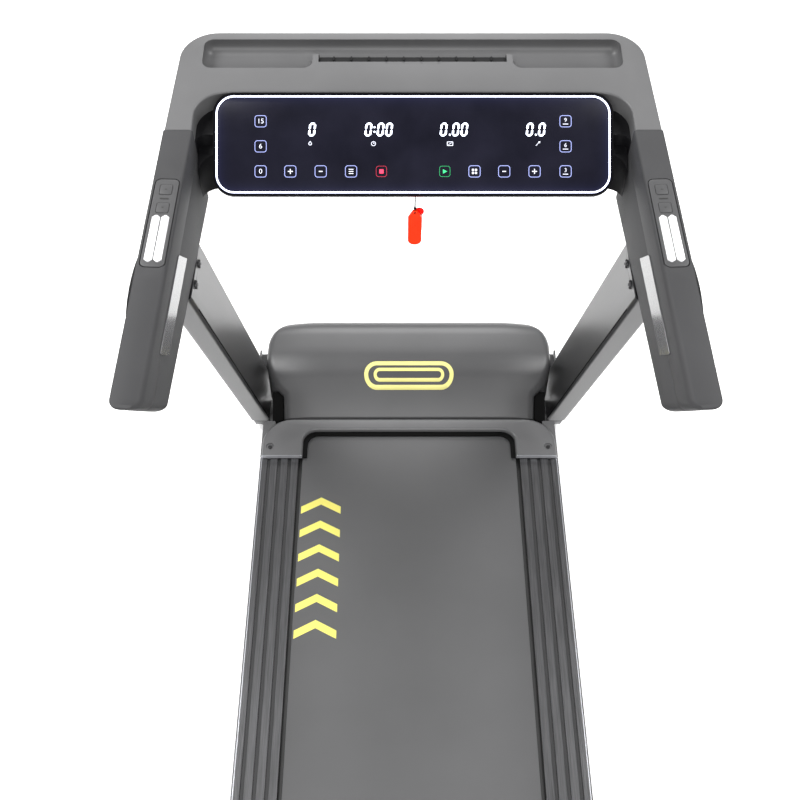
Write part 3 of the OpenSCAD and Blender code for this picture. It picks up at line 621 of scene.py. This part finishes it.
CARRIED = {
    "console_lower_cover": (2.0, "under"), "key_socket": (0.6, "shell"), "safety_key": (0.8, "under"),
    "upright_left": (0, "upright"), "upright_right": (0, "upright"),
    "handlebar_frame": (1.0, "frame"), "base_frame": (2.0, "frame"), "incline_frame": (1.0, "frame"),
    "strut_bracket": (0.6, "frame"), "deck_frame": (1.2, "frame"), "base_feet": (1.5, "rubber"),
    "rear_feet": (1.5, "rubber"), "board_cushions": (0.8, "rubber"), "transport_wheel_left": (1.5, "rubber"),
    "transport_wheel_right": (1.5, "rubber"), "wheel_axles": (0.5, "steel"), "fold_pins": (0.8, "steel"),
    "roller_axles": (0.5, "steel"), "belt_adjusters": (0.5, "dark_steel"), "front_roller": (0.4, "steel"),
    "rear_roller": (0.8, "steel"), "motor_pulley": (0.5, "steel"), "actuator_screw": (0.5, "steel"),
    "strut_rod": (0.5, "steel"), "running_board": (1.0, "board_black"), "drive_belt": (0, "rubber"),
    "rail_end_caps": (2.0, "cap"), "belly_pan": (0.6, "cap"), "power_inlet": (0.6, "cap"),
    "drive_motor": (2.5, "motor"), "actuator_body": (1.5, "motor"), "strut_cylinder": (0.8, "motor"),
    "motor_controller": (1.0, "controller"), "power_switch": (0.6, "switch"),
}
for carried, (edge, look) in CARRIED.items():
    soften(carried, edge, look)
for upright in ("upright_left", "upright_right"):
    flat = frame["nodes"][upright].modifiers.new("flat_faces", "WEIGHTED_NORMAL")
    flat.keep_sharp = True


# ---- display ----

def make_display():
    """Black glass with a lit border line and a thin bright rim."""
    glass = prism(rounded_box(PANEL_W, PANEL_H, PANEL_R, steps=14), 0, PANEL_TOP)
    bmesh.ops.translate(glass, verts=[v for v in glass.verts if v.co.z < 1e-3], vec=(0, 0, -3))
    round_rim(glass, PANEL_TOP, 0.8, segments=2)
    face = object_from(glass, "display_face")
    face.data.transform(TO_METRES)
    face.matrix_world = TO_METRES @ PANEL @ at(0, PANEL_Y) @ TO_METRES.inverted()
    face.data.materials.append(panel_surface(PANEL_W / 2 * MM, PANEL_H / 2 * MM, PANEL_R * MM))
    smooth(face)
    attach(face, "stand")
    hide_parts("display_glass")

    bands = (("display_rim", 7.0, 0.4, -3.0, 4.7, "bow", ["display_light_frame"]),
             ("display_light_line", -2.0, -7.0, 4.5, 4.72, "light", ()))
    for name, outside, inside, low, high, look, node in bands:
        outlines = [rounded_box(PANEL_W + grow, PANEL_H + grow, PANEL_R + grow / 2, (0, PANEL_Y), 14)
                    for grow in (outside, inside)]
        band = ring_band(*outlines, low, high)
        finish_piece(object_from(band, name), "stand", look, node, PANEL)


FACE_LOW = PANEL_TOP - 0.1
FACE_HIGH = PANEL_TOP + 0.15


def face_prism(outline, x=0.0, y=0.0):
    return moved(prism(outline, FACE_LOW, FACE_HIGH), at(x, y))


def face_ring(outer, inner, x=0.0, y=0.0):
    return moved(ring_band(outer, inner, FACE_LOW, FACE_HIGH), at(x, y))


def on_panel(meshes, name, look):
    """One mark of the display from flat meshes."""
    finish_piece(joined(meshes, name), "stand", look, place=PANEL)


def bar(x0, y0, x1, y1, width):
    """Straight stroke with square ends between two points of the display."""
    along = Vector((x1 - x0, y1 - y0)).normalized()
    side = Vector((-along.y, along.x)) * width / 2
    a, b = Vector((x0, y0)), Vector((x1, y1))
    return [tuple(p) for p in (a - side, b - side, b + side, a + side)]


def nought(x, y, height):
    """Lit strokes of a slanted seven-segment nought whose middle is at x, y."""
    w, h, t = height * 0.215, height * 0.5, height * 0.17
    cut_end = 0.55 * t
    corners = [Vector(c) for c in ((-w, h), (w, h), (w, 0), (w, -h), (-w, -h), (-w, 0))]
    strokes = []
    for start, end in zip(corners, corners[1:] + corners[:1]):
        along = (end - start).normalized()
        side = Vector((-along.y, along.x)) * t / 2
        start, end = start + along * 0.05 * t, end - along * 0.05 * t
        six = [start, start + along * cut_end - side, end - along * cut_end - side, end,
               end - along * cut_end + side, start + along * cut_end + side]
        strokes.append(face_prism([(p.x + 0.12 * p.y, p.y) for p in six], x, y))
    return strokes


def make_readouts():
    height = 17.5
    step = 12.9
    row_y = 100.5
    strokes = []
    for text, middle in (("0", -153), ("0:00", -52), ("0.00", 62), ("0.0", 186)):
        width = sum(step if c == "0" else step * 0.42 for c in text)
        x = middle - width / 2
        for character in text:
            if character == "0":
                strokes += nought(x + step / 2, row_y, height)
                x += step
                continue
            dots = (-0.45,) if character == "." else (-0.2, 0.2)
            for level in dots:
                dot = rounded_box(2.6, 2.6, 0.8, steps=3)
                strokes.append(face_prism(dot, x + 0.21 * step, row_y + level * height))
            x += step * 0.42
    on_panel(strokes, "readout_figures", "digit")


def make_small_icons():
    """Drop, clock, distance and pace signs below the readouts."""
    y = 79
    drop, drop_in = ([(0, tip)] + arc((0, 0), r, 25, -205, 14) for tip, r in ((4.4, 2.6), (2.7, 1.6)))
    marks = [
        face_ring(drop, drop_in, -156, y),
        face_ring(rounded_box(7.2, 7.2, 3.59), rounded_box(5.4, 5.4, 2.69), -60, y),
        face_prism(bar(0, 0, 0, 2.2, 0.7), -60, y),
        face_prism(bar(0, 0, 1.7, 0, 0.7), -60, y),
        face_ring(rounded_box(9.4, 6.6, 1.2), rounded_box(7.4, 4.6, 0.6), 56, y),
        face_prism(bar(-2.6, -1.4, 2.6, 1.4, 0.8), 56, y),
        face_prism(bar(-3, -3, 2.6, 2.6, 0.9), 189, y),
        face_prism([(3.8, 3.8), (0.4, 3), (3, 0.4)], 189, y),
    ]
    on_panel(marks, "readout_signs", "symbol")


def number_mesh(text, size):
    """Upright plain numbers as a flat mesh, centred on the origin."""
    curve = bpy.data.curves.new("number", "FONT")
    curve.body = text
    curve.size = size
    curve.align_x = "CENTER"
    curve.align_y = "CENTER"
    curve.offset = -0.004 * size
    curve.extrude = 0.06
    shape = linked("number", curve)
    graph = bpy.context.evaluated_depsgraph_get()
    data = bpy.data.meshes.new_from_object(shape.evaluated_get(graph))
    bpy.data.objects.remove(shape)
    mesh = bmesh.new()
    mesh.from_mesh(data)
    return mesh


ROWS = [37, 75, 113]


def key_outline(x, y, size=18.2, line=1.0, radius=4.4):
    inside = size - 2 * line
    return face_ring(rounded_box(size, size, radius), rounded_box(inside, inside, radius - line), x, y)


def make_touch_keys():
    plus = [bar(-3.8, 0, 3.8, 0, 1.4), bar(0, -3.8, 0, 3.8, 1.4)]
    minus = [bar(-2.8, 0, 2.8, 0, 1.5)]
    lines = [bar(-3.6, k * 3.2, 3.6, k * 3.2, 1.1) for k in (-1, 0, 1)]
    squares = [rounded_box(3.2, 3.2, 0.6, (i * 2.3, j * 2.3), 2) for i in (-1, 1) for j in (-1, 1)]
    rows = {-186: plus, -140: minus, -94: lines, 93: squares, 138: minus, 184: plus}
    outlines, signs = [], []
    for x, shapes in rows.items():
        outlines.append(key_outline(x, ROWS[0]))
        signs += [face_prism(shape, x, ROWS[0]) for shape in shapes]
    figures = {-231: ("0", "6", "15"), 231: ("3", "6", "9")}
    for x, texts in figures.items():
        for text, y in zip(texts, ROWS):
            outlines.append(key_outline(x, y))
            raised = 0.0 if x < 0 else 1.6
            signs.append(moved(number_mesh(text, 10.5 if x < 0 else 8.5),
                               at(x, y + raised, PANEL_TOP + 0.1)))
            if x > 0:
                signs.append(face_prism(bar(-4, -4.2, 4, -4.2, 1.1), x, y))
    on_panel(outlines, "touch_key_frames", "icon")
    on_panel(signs, "touch_key_signs", "symbol")

    for x, look in ((-48, "stop_dim"), (48, "start_dim")):
        outer, inner = rounded_box(16.6, 16.6, 4), rounded_box(15.2, 15.2, 3.4)
        on_panel([face_ring(outer, inner, x, ROWS[0])], look + "_frame", look)
    on_panel([face_prism(rounded_box(6.4, 6.4, 0.8), -48, ROWS[0])], "stop_key_sign", "stop")
    triangle = [(-2.8, -3.4), (3.6, 0), (-2.8, 3.4)]
    on_panel([face_prism(triangle, 48, ROWS[0])], "start_key_sign", "start")


make_display()
make_readouts()
make_small_icons()
make_touch_keys()


# ---- grips ----

def grip_section(y, high, low, inset, chamfer, drop_top, rise_low):
    """Closed section of the right grip at y, from its top down to low. Its inner edge is at -x."""
    half = GRIP_W / 2 - inset
    top = high - drop_top
    bottom = low + rise_low
    edge = 2.6
    points = [(-half, top - chamfer), (-half + 0.3 * chamfer, top - 0.55 * chamfer),
              (-half + 0.62 * chamfer, top - 0.22 * chamfer), (-half + chamfer, top)]
    points += arc((half - edge, top - edge), edge, 90, 0, 5) + [(half, bottom), (-half, bottom)]
    return [Vector((x, y, z)) for x, z in points]


def end_inset(distance, radius):
    """How far a face draws in at that distance from a rounded end."""
    if distance >= radius:
        return 0.0
    return radius - math.sqrt(radius ** 2 - (radius - distance) ** 2)


def grip_end(z):
    """Distance from the grip's tip at which its end face lies: the end is cut back below."""
    return max(-z, 0.0) * 0.577


def grip_half(name, is_upper):
    """Upper or lower shell of the right grip, lofted along it from its free end."""
    seam = -52
    near_end = [0.0, 0.25, 0.8, 1.6, 2.6, 4, 6, 8.5, 11, 13.5, 16, 22]
    along = near_end + [GRIP_L * k / 14 for k in range(1, 14)] + [GRIP_L]
    sections = []
    for distance in along:
        y = -GRIP_L + distance
        inset = end_inset(distance, 16)
        chamfer = 9.5 - 6.5 * distance / GRIP_L
        if is_upper:
            section = grip_section(y, 0, seam, inset, chamfer, end_inset(distance, 4), 0)
        else:
            share = distance / 440
            low = -(112 + 34 * min(share, 1.08))
            section = grip_section(y, seam - 0.2, low, inset, 0.05, 0, end_inset(distance, 12))
            for index, point in enumerate(section[4:10]):
                point.x = GRIP_W / 2 - inset
                point.z = seam - 0.2 - 0.02 * index
            section[-1].x -= 3.5
        for point in section:
            point.y += grip_end(point.z) * (1 - distance / GRIP_L)
        if distance == GRIP_L:
            for point in section:
                point.y = (-GAP - point.x * math.sin(GRIP_YAW)) / math.cos(GRIP_YAW)
        sections.append(section)
    return object_from(loft(sections), name)


def make_grips():
    upper = grip_half("grip_top", True)
    pocket = prism(rounded_box(36.4, 162.4, 9), -4.2, 9)
    cut(upper, [moved(pocket, at(0, KEYPAD_Y))])
    bevel(upper, 0.5, 60, 2)
    both_sides(upper, "grip_top", "stand", "grip",
               (["grip_left"], ["grip_right"]), GRIP, angle=40)
    lower = grip_half("grip_base", False)
    bevel(lower, 4, 55, 4)
    both_sides(lower, "grip_base", "stand", "grip",
               (["grip_lower_shells"], []), GRIP, angle=40)


def make_keypads():
    """Raised bezel with two key windows and two contact windows."""
    plate = prism(rounded_box(34, 160, 8), -4, 0.4)
    round_rim(plate, 0.4, 0.8, segments=3)
    made = object_from(moved(plate, at(0, KEYPAD_Y)), "keypad")
    windows = [prism(rounded_box(18.8, 19.8, 3.4, (0, y)), -3, 5) for y in BUTTON_ROWS]
    windows += [moved(prism(contact_outline(12.3, 84.4, 4), -3, 5), at(x, CONTACT_Y)) for x in CONTACT_X]
    cut(made, windows)
    bevel(made, 0.4, 60, 2)
    both_sides(made, "keypad", "stand", "key", (["keypad_bezels"], []), GRIP)

    bridge = prism(rounded_box(13, 1.8, 0.8), 0.2, 0.9)
    both_sides(moved(bridge, at(0, -135)), "key_line", "stand", "key_mark", place=GRIP)


def contact_outline(width, length, point):
    """Long plate whose ends come to a blunt point."""
    w, h = width / 2, length / 2
    return [(w, h - point), (0.2 * w, h), (-0.2 * w, h), (-w, h - point),
            (-w, -h + point), (-0.2 * w, -h), (0.2 * w, -h), (w, -h + point)]


def make_contacts():
    plates = []
    for x in CONTACT_X:
        plate = prism(contact_outline(11.7, 83.8, 4), -3, 1.6)
        round_rim(plate, 1.6, 1.0, segments=3)
        plates.append(moved(plate, at(x, CONTACT_Y)))
    both_sides(joined(plates, "contacts"), "contacts", "stand",
               "chrome", (["pulse_plates"], []), GRIP)


def make_buttons():
    """Each push button has a flat face with a rounded rim and a small printed sign."""
    for y, way, sign in zip(BUTTON_ROWS, ("up", "down"), (1, -1)):
        for body in ("incline_" + way, "speed_" + way):
            key = prism(rounded_box(18, 19, 3), -3.6, 1.0)
            round_rim(key, 1.0, 0.9, segments=3)
            stem = prism(disc(4), -8, -3.5)
            made = joined([moved(key, at(0, y)), moved(stem, at(0, y))], body + "_key")
            arrow = [(-2.4, -1.2 * sign), (2.4, -1.2 * sign), (0, 1.8 * sign)]
            if sign < 0:
                arrow.reverse()
            mark = object_from(moved(prism(arrow, 0.9, 1.12), at(0, y)), body + "_mark")
            for piece in (made, mark):
                piece.data.transform(GRIP)
                if body.startswith("incline"):
                    piece.data.transform(MIRROR)
                    piece.data.flip_normals()
            finish_piece(made, body, "key", [body + "_button"])
            finish_piece(mark, body, "key_mark")


def along_grip(outline, x0, x1):
    """Extrudes an outline drawn in the grip's Y and Z along its X."""
    mesh = prism(outline, x0, x1)
    turn = Matrix(((0, 0, 1, 0), (1, 0, 0, 0), (0, 1, 0, 0), (0, 0, 0, 1)))
    return moved(mesh, turn)


def make_grip_trim():
    inner = -GRIP_W / 2
    panel = [(-202, -43), (-376, -39), (-336, -103), (-158, -109)]
    mesh = along_grip(panel, inner - 1.6, inner + 0.4)
    corners = [e for e in mesh.edges if abs(e.verts[0].co.x - e.verts[1].co.x) > 1]
    bmesh.ops.bevel(mesh, geom=corners, offset=4, segments=4, profile=0.5, affect="EDGES")
    inlay = object_from(mesh, "inlay")
    bevel(inlay, 0.5, 60, 2)
    both_sides(inlay, "inlay", "stand", "inlay", (["grip_inlays"], []), GRIP)

    bow_start, bow_length, middle = -170, 210, -44
    sections = []
    steps = 20
    for i in range(steps + 1):
        share = i / steps
        y = bow_start - bow_length * share
        swell = math.sin(math.pi * min(max(share, 0.02), 0.98)) ** 0.7
        out = GRIP_W / 2 + 10.5 * swell
        tall = 26 * swell + 4
        sections.append([Vector((x, y, middle + z)) for x, z in
                         ((GRIP_W / 2 - 1, -tall), (out - 1.2, -0.8 * tall), (out, -0.3 * tall),
                          (out, 0.3 * tall), (out - 1.2, 0.8 * tall), (GRIP_W / 2 - 1, tall))])
    both_sides(loft(sections), "side_bow", "stand", "bow", place=GRIP, angle=60)

    vent = along_grip(rounded_box(7, 17, 3.4, (-91, -96)), inner - 0.25, inner + 0.5)
    both_sides(vent, "grip_vent", "stand", "inlay", place=GRIP)
    center = (-384, -82)
    moon = arc(center, 9, -60, 60) + arc((center[0] - 2.5, center[1]), 8.4, 60, -60)
    cap_mark = along_grip(moon, inner - 0.2, inner + 0.5)
    both_sides(cap_mark, "cap_mark", "stand", "seam", place=GRIP)


make_grips()
make_keypads()
make_contacts()
make_buttons()
make_grip_trim()


# ---- uprights ----

SPLAY = math.radians(1.24)
UPRIGHT = at(334, 705, 30) @ Matrix.Rotation(SPLAY, 4, "Y") @ Matrix.Rotation(LEAN, 4, "X")


def make_upright_groove_shade():
    """A black strip along the inner rear edge of each upright: painted shade in the groove between its inner
    and rear faces.
    """
    low, high = box("upright_right")
    length = (high.z - low.z - 12) / math.cos(LEAN)
    strip = prism(rounded_box(1.6, 3, 0.7), 56, length)
    place = UPRIGHT @ at(-20.3, -50.5)
    both_sides(strip, "upright_groove_shade", "stand", "seam", place=place)


def socket_head(radius, height, rounding, segments, sockets):
    """A round screw head with its socket cut in."""
    head = prism(disc(radius, 32), 0, height)
    round_rim(head, height, rounding, segments=segments)
    made = cut(object_from(head, "head"), sockets)
    mesh = bmesh.new()
    mesh.from_mesh(made.data)
    bpy.data.objects.remove(made)
    return mesh


def make_bolts():
    """Button-head bolts with a hexagon socket, at the top of each upright."""
    low, high = box("upright_bolts")
    head_r = 7
    z = (low.z + high.z) / 2
    inner_x = min(abs(v.co.x) for v in frame["nodes"]["upright_bolts"].data.vertices) / MM
    for side, x in (("left", -inner_x), ("right", inner_x)):
        parts = []
        for y in (low.y + head_r, high.y - head_r):
            head = socket_head(head_r, 3.4, 2.4, 4, [prism(disc(3.1, 6), 1, 9)])
            shank = prism(disc(3.9), -22, 0.2)
            place = at(x + math.copysign(3.2, x), y, z) @ (ACROSS.inverted() if x > 0 else ACROSS)
            parts += [moved(head, place), moved(shank, place)]
        finish_piece(joined(parts, "bolts_" + side), "stand", "dark_steel",
                     ["upright_bolts"] if side == "left" else ())


make_upright_groove_shade()
make_bolts()


# ---- hood and bezel ----

hood_low, hood_high = box("motor_hood")
HOOD_X, HOOD_FRONT, HOOD_TOP = hood_high
HOOD_REAR = hood_low.y
HOOD_CORNER = 90


def hood_half_width(y):
    """Half width of the hood's plan: waist at the rear, round corners in front."""
    corner_y = HOOD_FRONT - HOOD_CORNER
    if y > corner_y:
        reach = min(y - corner_y, HOOD_CORNER)
        return HOOD_X - HOOD_CORNER + math.sqrt(HOOD_CORNER ** 2 - reach ** 2)
    waist_y, waist_r = 660, 80
    if y > waist_y:
        return HOOD_X
    back = min(waist_y - y, waist_r)
    return max(HOOD_X - waist_r + math.sqrt(waist_r ** 2 - back ** 2), HOOD_X - 38)


def hood_height(y):
    """Height of the hood's ridge line: a slope behind, a flat top, a rounded front edge."""
    rear_z, slope_y = 180, HOOD_REAR + 74
    flat_y = HOOD_REAR + 134
    if y < slope_y:
        share = (y - HOOD_REAR) / (slope_y - HOOD_REAR)
        return rear_z + (HOOD_TOP - 14 - rear_z) * (1.12 * share - 0.12 * share ** 2)
    if y < flat_y:
        share = (y - slope_y) / (flat_y - slope_y)
        return HOOD_TOP - 14 * (1 - share) ** 2
    front_r = 60
    past = y - (HOOD_FRONT - front_r)
    if past <= 0:
        return HOOD_TOP
    return HOOD_TOP - front_r + math.sqrt(max(front_r ** 2 - min(past, front_r) ** 2, 0))


def hood_crown(x, half):
    """How far the skin lies below the ridge line at x: flat in the middle, rolling down outside."""
    flat = 195
    past = max(abs(x) - flat, 0) / max(half - flat, 1)
    return 8 * past ** 2


def hood_section(y):
    half = hood_half_width(y)
    ridge = hood_height(y)
    low = 128 if y < 665 else hood_low.z
    shoulder = 16
    across = [k / 12 for k in range(-12, 13)]
    inner = half - shoulder
    top = [(s * inner, ridge - hood_crown(s * inner, half)) for s in across]
    edge_z = top[-1][1]
    side = [(inner + shoulder * math.sin(t), edge_z - shoulder * (1 - math.cos(t)))
            for t in (math.radians(a) for a in (15, 30, 45, 60, 75, 90))]
    right = side + [(half, edge_z - 1.6 * shoulder), (half, (edge_z + low) / 2), (half, low)]
    left = [(-x, z) for x, z in reversed(right)]
    return [Vector((x, y, max(z, low))) for x, z in left + top + right]


def make_hood():
    steps = [0, 0.5, 4, 10, 20, 32, 44, 56, 66, 74, 84, 96, 110, 118.5, 119.5, 126, 140, 156, 172, 186, 198,
             208, 215, 221, 226, 230, 233.5, 236, 237.6, 238.4]
    span = HOOD_FRONT - HOOD_REAR
    sections = [hood_section(HOOD_REAR + span * step / steps[-1]) for step in steps]
    hood = object_from(loft(sections, around=False), "hood_shell")
    shell = hood.modifiers.new("shell", "SOLIDIFY")
    shell.thickness = 3
    shell.offset = -1
    evaluated(hood)
    for node in ("power_inlet", "power_switch"):
        low, high = box(node)
        size = high - low
        window = prism(rounded_box(size.x + 3, size.z + 3, 3), -30, 30)
        moved(window, at((low.x + high.x) / 2, HOOD_FRONT, (low.z + high.z) / 2) @ UP)
        cut(hood, [window])
    finish_piece(hood, "deck", "hood", ["motor_hood"], angle=55)


def on_hood(mesh):
    """Lays a flat mesh, drawn in X and Y, on the hood's skin."""
    for vert in mesh.verts:
        x, y = vert.co.x, vert.co.y
        vert.co.z += hood_height(y) - hood_crown(x, hood_half_width(y)) + 0.25
    return mesh


def densify(outline, parts=3):
    """Splits each side of an outline into equal parts."""
    points = []
    for a, b in zip(outline, outline[1:] + outline[:1]):
        start, step = Vector(a), (Vector(b) - Vector(a)) / parts
        points += [tuple(start + step * k) for k in range(parts)]
    return points


def make_hood_mark():
    """A plain running-track sign: two lanes round an oval."""
    middle = (0, 619)
    lanes = []
    for width, height, band in ((190, 54, 8.5), (150, 26, 6.5)):
        outer = rounded_box(width, height, height / 2 - 0.01, middle, 20)
        inner = rounded_box(width - 2 * band, height - 2 * band, height / 2 - band - 0.01, middle, 20)
        lanes.append(on_hood(ring_band(densify(outer), densify(inner), -0.5, 0.1)))
    finish_piece(joined(lanes, "hood_mark"), "deck", "pale_yellow", angle=60)


def make_bezel():
    """Arch behind the hood: its legs cap the front ends of the rails."""
    low, high = box("hood_bezel")
    rear, front = box("side_rail_right")[1].y + 0.4, 545
    outer_x = high.x
    top = 178
    base = top - 10
    inner_x, inner_front = 222, 516
    inner_r, outer_r = 28, 62
    half = arc((inner_x - inner_r, inner_front - inner_r), inner_r, 90, 0)
    half += [(inner_x, rear), (outer_x - 3, rear)]
    half += arc((outer_x - 3 - outer_r, front - outer_r), outer_r, 0, 90, 14)
    mesh = prism(both_halves(half), base, top)
    round_rim(mesh, top, 6, keep=lambda p: p.y < rear + 1, segments=6)
    arch = object_from(mesh, "bezel_arch")
    cut(arch, [moved(prism(disc(8.4, 32), top - 2.6, top + 9), at(x, SCREW_Y)) for x in SCREW_X])
    bevel(arch, 0.5, 60, 2)
    finish_piece(arch, "deck", "bezel", ["hood_bezel"])

    length = front - rear
    skirt = prism(rounded_box(26, length, 2.5), low.z, base + 0.2)
    round_rim(skirt, low.z, 1, segments=2)
    place = at(outer_x - 13, rear + length / 2)
    both_sides(skirt, "bezel_skirt", "deck", "bezel", place=place)

    # A black plate filling the hood's waist beside each upright: painted shade of the dark gap between hood
    # and upright.
    waist_shade_outline = [(540, 130), (540, 162), (600, 199), (600, 130)]
    made = object_from(along_grip(waist_shade_outline, HOOD_X - 37.2, 291), "waist_shade_outline")
    bite = moved(prism(disc(80.4, 120), 120, 220), at(HOOD_X - 80, 660))
    cut(made, [bite])
    bevel(made, 1.2, 50, 2)
    both_sides(made, "waist_painted_shade", "deck", "seam")

    # A black band just inside and below the bezel's inner edge: painted shadow between the bezel and the
    # belt.
    shadow_outlines = []
    for inset in (-1, 9):
        x, y, r = inner_x - inset, inner_front - inset, inner_r - inset / 2
        shadow_outlines.append(both_halves([(x, rear + 1)] + arc((x - r, y - r), r, 0, 90)))
    edge = object_from(prism(shadow_outlines[0] + shadow_outlines[1][::-1], base - 3, base - 0.3), "bezel_painted_shadow")
    finish_piece(edge, "deck", "seam")

    # A light strip across the rear end of each bezel leg: painted highlight where the leg meets the rail.
    highlight_band = prism(rounded_box(outer_x - inner_x - 4, 1.6, 0.7), base, top - 1.2)
    place = at((outer_x + inner_x) / 2 - 1, rear - 0.6)
    both_sides(highlight_band, "bezel_painted_highlight", "deck", "rim", place=place)


def make_screws():
    top = box("hood_screws")[1].z
    parts = []
    for x in SCREW_X:
        cross = [prism(rounded_box(w, h, 0.3), 1.2, 5) for w, h in ((4.4, 1.0), (1.0, 4.4))]
        parts.append(moved(socket_head(4.6, 2.2, 1.4, 3, cross), at(x, SCREW_Y, top - 2.8)))
    finish_piece(joined(parts, "bezel_screws"), "deck", "dark_steel", ["hood_screws"])


make_hood()
make_hood_mark()
make_bezel()
make_screws()


# ---- belt, rails and marks ----

belt_low, belt_high = box("running_belt")
BELT_TOP = belt_high.z


def make_belt():
    """Endless belt with rounded edges."""
    roller = (belt_high.z - belt_low.z) / 2
    z = (belt_high.z + belt_low.z) / 2
    rear, front = belt_low.y + roller, belt_high.y - roller
    thick = 2.4
    half = belt_high.x
    edge = 0.7

    def loop(radius):
        rear_turn, front_turn = arc((rear, z), radius, 90, 270, 24), arc((front, z), radius, -90, 90, 24)
        return (rear_turn + densify([rear_turn[-1], front_turn[0]], 12)[1:12]
                + front_turn + densify([front_turn[-1], rear_turn[0]], 12)[1:12])

    outer, inner = loop(roller), loop(roller - thick)
    soft_outer = loop(roller - edge)
    edges = ((-half, inner), (-half, soft_outer), (-half + edge, outer), (half - edge, outer),
             (half, soft_outer), (half, inner))
    mesh = loft([[(x, *point) for point in line] for x, line in edges], closed=True)
    finish_piece(object_from(mesh, "belt_loop"), "deck", "belt", ["running_belt"], angle=50)


def make_belt_marks():
    """A row of plain chevrons printed along the left edge of the belt."""
    marks = []
    count = 6
    start, end = 42, 371
    step = (end - start) / count
    left, right = -219, -139
    middle = (left + right) / 2
    tip = 22
    stroke = 17
    for i in range(count):
        y = start + i * step
        inner = [(left, y), (middle, y + tip), (right, y)]
        outer = [(right, y + stroke), (middle, y + tip + stroke), (left, y + stroke)]
        marks.append(prism(inner + outer, BELT_TOP - 0.4, BELT_TOP + 0.15))
    finish_piece(joined(marks, "belt_marks"), "deck", "yellow")


def make_rails():
    """Extruded foot rails: four lands between three sunk grooves with painted shade strips at their bottoms,
    and a painted highlight strip along the outer edge.
    """
    low, high = box("side_rail_right")
    inner, outer = low.x, high.x
    top = high.z
    under = top - 5.6
    sink = 2.6
    lands = 4
    groove = 6.4
    land = (outer - inner - (lands - 1) * groove) / lands
    profile = [(inner, under)]
    x = inner
    for i in range(lands):
        profile += [(x, top - 0.5), (x + 0.5, top), (x + land - 0.5, top), (x + land, top - 0.5)]
        if i < lands - 1:
            profile += [(x + land, top - sink), (x + land + groove, top - sink)]
        x += land + groove
    profile += [(outer, low.z), (outer - 4, low.z), (outer - 4, under)]
    sections = [[Vector((px, y, pz)) for px, pz in profile] for y in (low.y, high.y)]
    rail = object_from(loft(sections), "rail")
    both_sides(rail, "rail", "deck", "rail",
               (["side_rail_left"], ["side_rail_right"]), angle=20)
    # Dark strips on the groove bottoms: painted shade in the grooves.
    strips = []
    for i in range(lands - 1):
        start = inner + (i + 1) * land + i * groove
        outline = rounded_box(groove - 0.1, high.y - low.y - 0.4, 0.3, steps=2)
        strip = prism(outline, 0, 0.35)
        strips.append(moved(strip, at(start + groove / 2, (low.y + high.y) / 2, top - sink)))
    both_sides(joined(strips, "rail_groove_shade_strips"), "rail_groove_shade_strips", "deck", "groove")
    # A light strip along the rail's outer top edge: painted highlight of its rounded corner.
    highlight_outline = rounded_box(1.6, high.y - low.y - 1, 0.5, steps=2)
    highlight_strip = prism(highlight_outline, top - 0.2, top + 0.35)
    place = at(outer - 3.2, (low.y + high.y) / 2)
    both_sides(highlight_strip, "rail_painted_highlight", "deck", "rim", place=place)


make_belt()
make_belt_marks()
make_rails()


# ---- floor, light and background ----

def make_stage():
    floor = prism([(-40, -40), (40, -40), (40, 40), (-40, 40)], -0.02, 0.0)
    ground = object_from(floor, "floor")
    material = surface("floor_paint", (0.90, 0.90, 0.90), 0.6, grain=60, bump=0.02, mottle=0.006)
    tune(material.node_tree.nodes["Principled BSDF"], Emission_Color=(1, 1, 1, 1), Emission_Strength=0.55)
    ground.data.materials.append(material)
    world = bpy.data.worlds.new("studio")
    bpy.context.scene.world = world
    world.use_nodes = True
    tune(world.node_tree.nodes["Background"], Color=(1, 1, 1, 1), Strength=0.25)


def area_light(name, place, aim, size, power):
    data = bpy.data.lights.new(name, "AREA")
    data.shape = "RECTANGLE"
    data.size, data.size_y = size
    data.energy = power
    lamp = linked(name, data)
    turn = (Vector(aim) - Vector(place)).to_track_quat("-Z", "Y").to_matrix().to_4x4()
    lamp.matrix_world = Matrix.Translation(place) @ turn


make_stage()
area_light("key_light", (-1.7, 0.9, 3.0), (0, 0.5, 0.6), (1.2, 1.4), 72)
area_light("fill_light", (1.8, 0.9, 3.0), (0, 0.5, 0.5), (1.2, 1.4), 60)
area_light("rear_light", (0, 3.4, 2.2), (0, 0.5, 0.6), (1.8, 0.8), 52)
area_light("front_light", (0, -2.6, 2.7), (0, 0.7, 0.3), (2.4, 1.0), 75)
bpy.context.scene.view_settings.view_transform = "Standard"
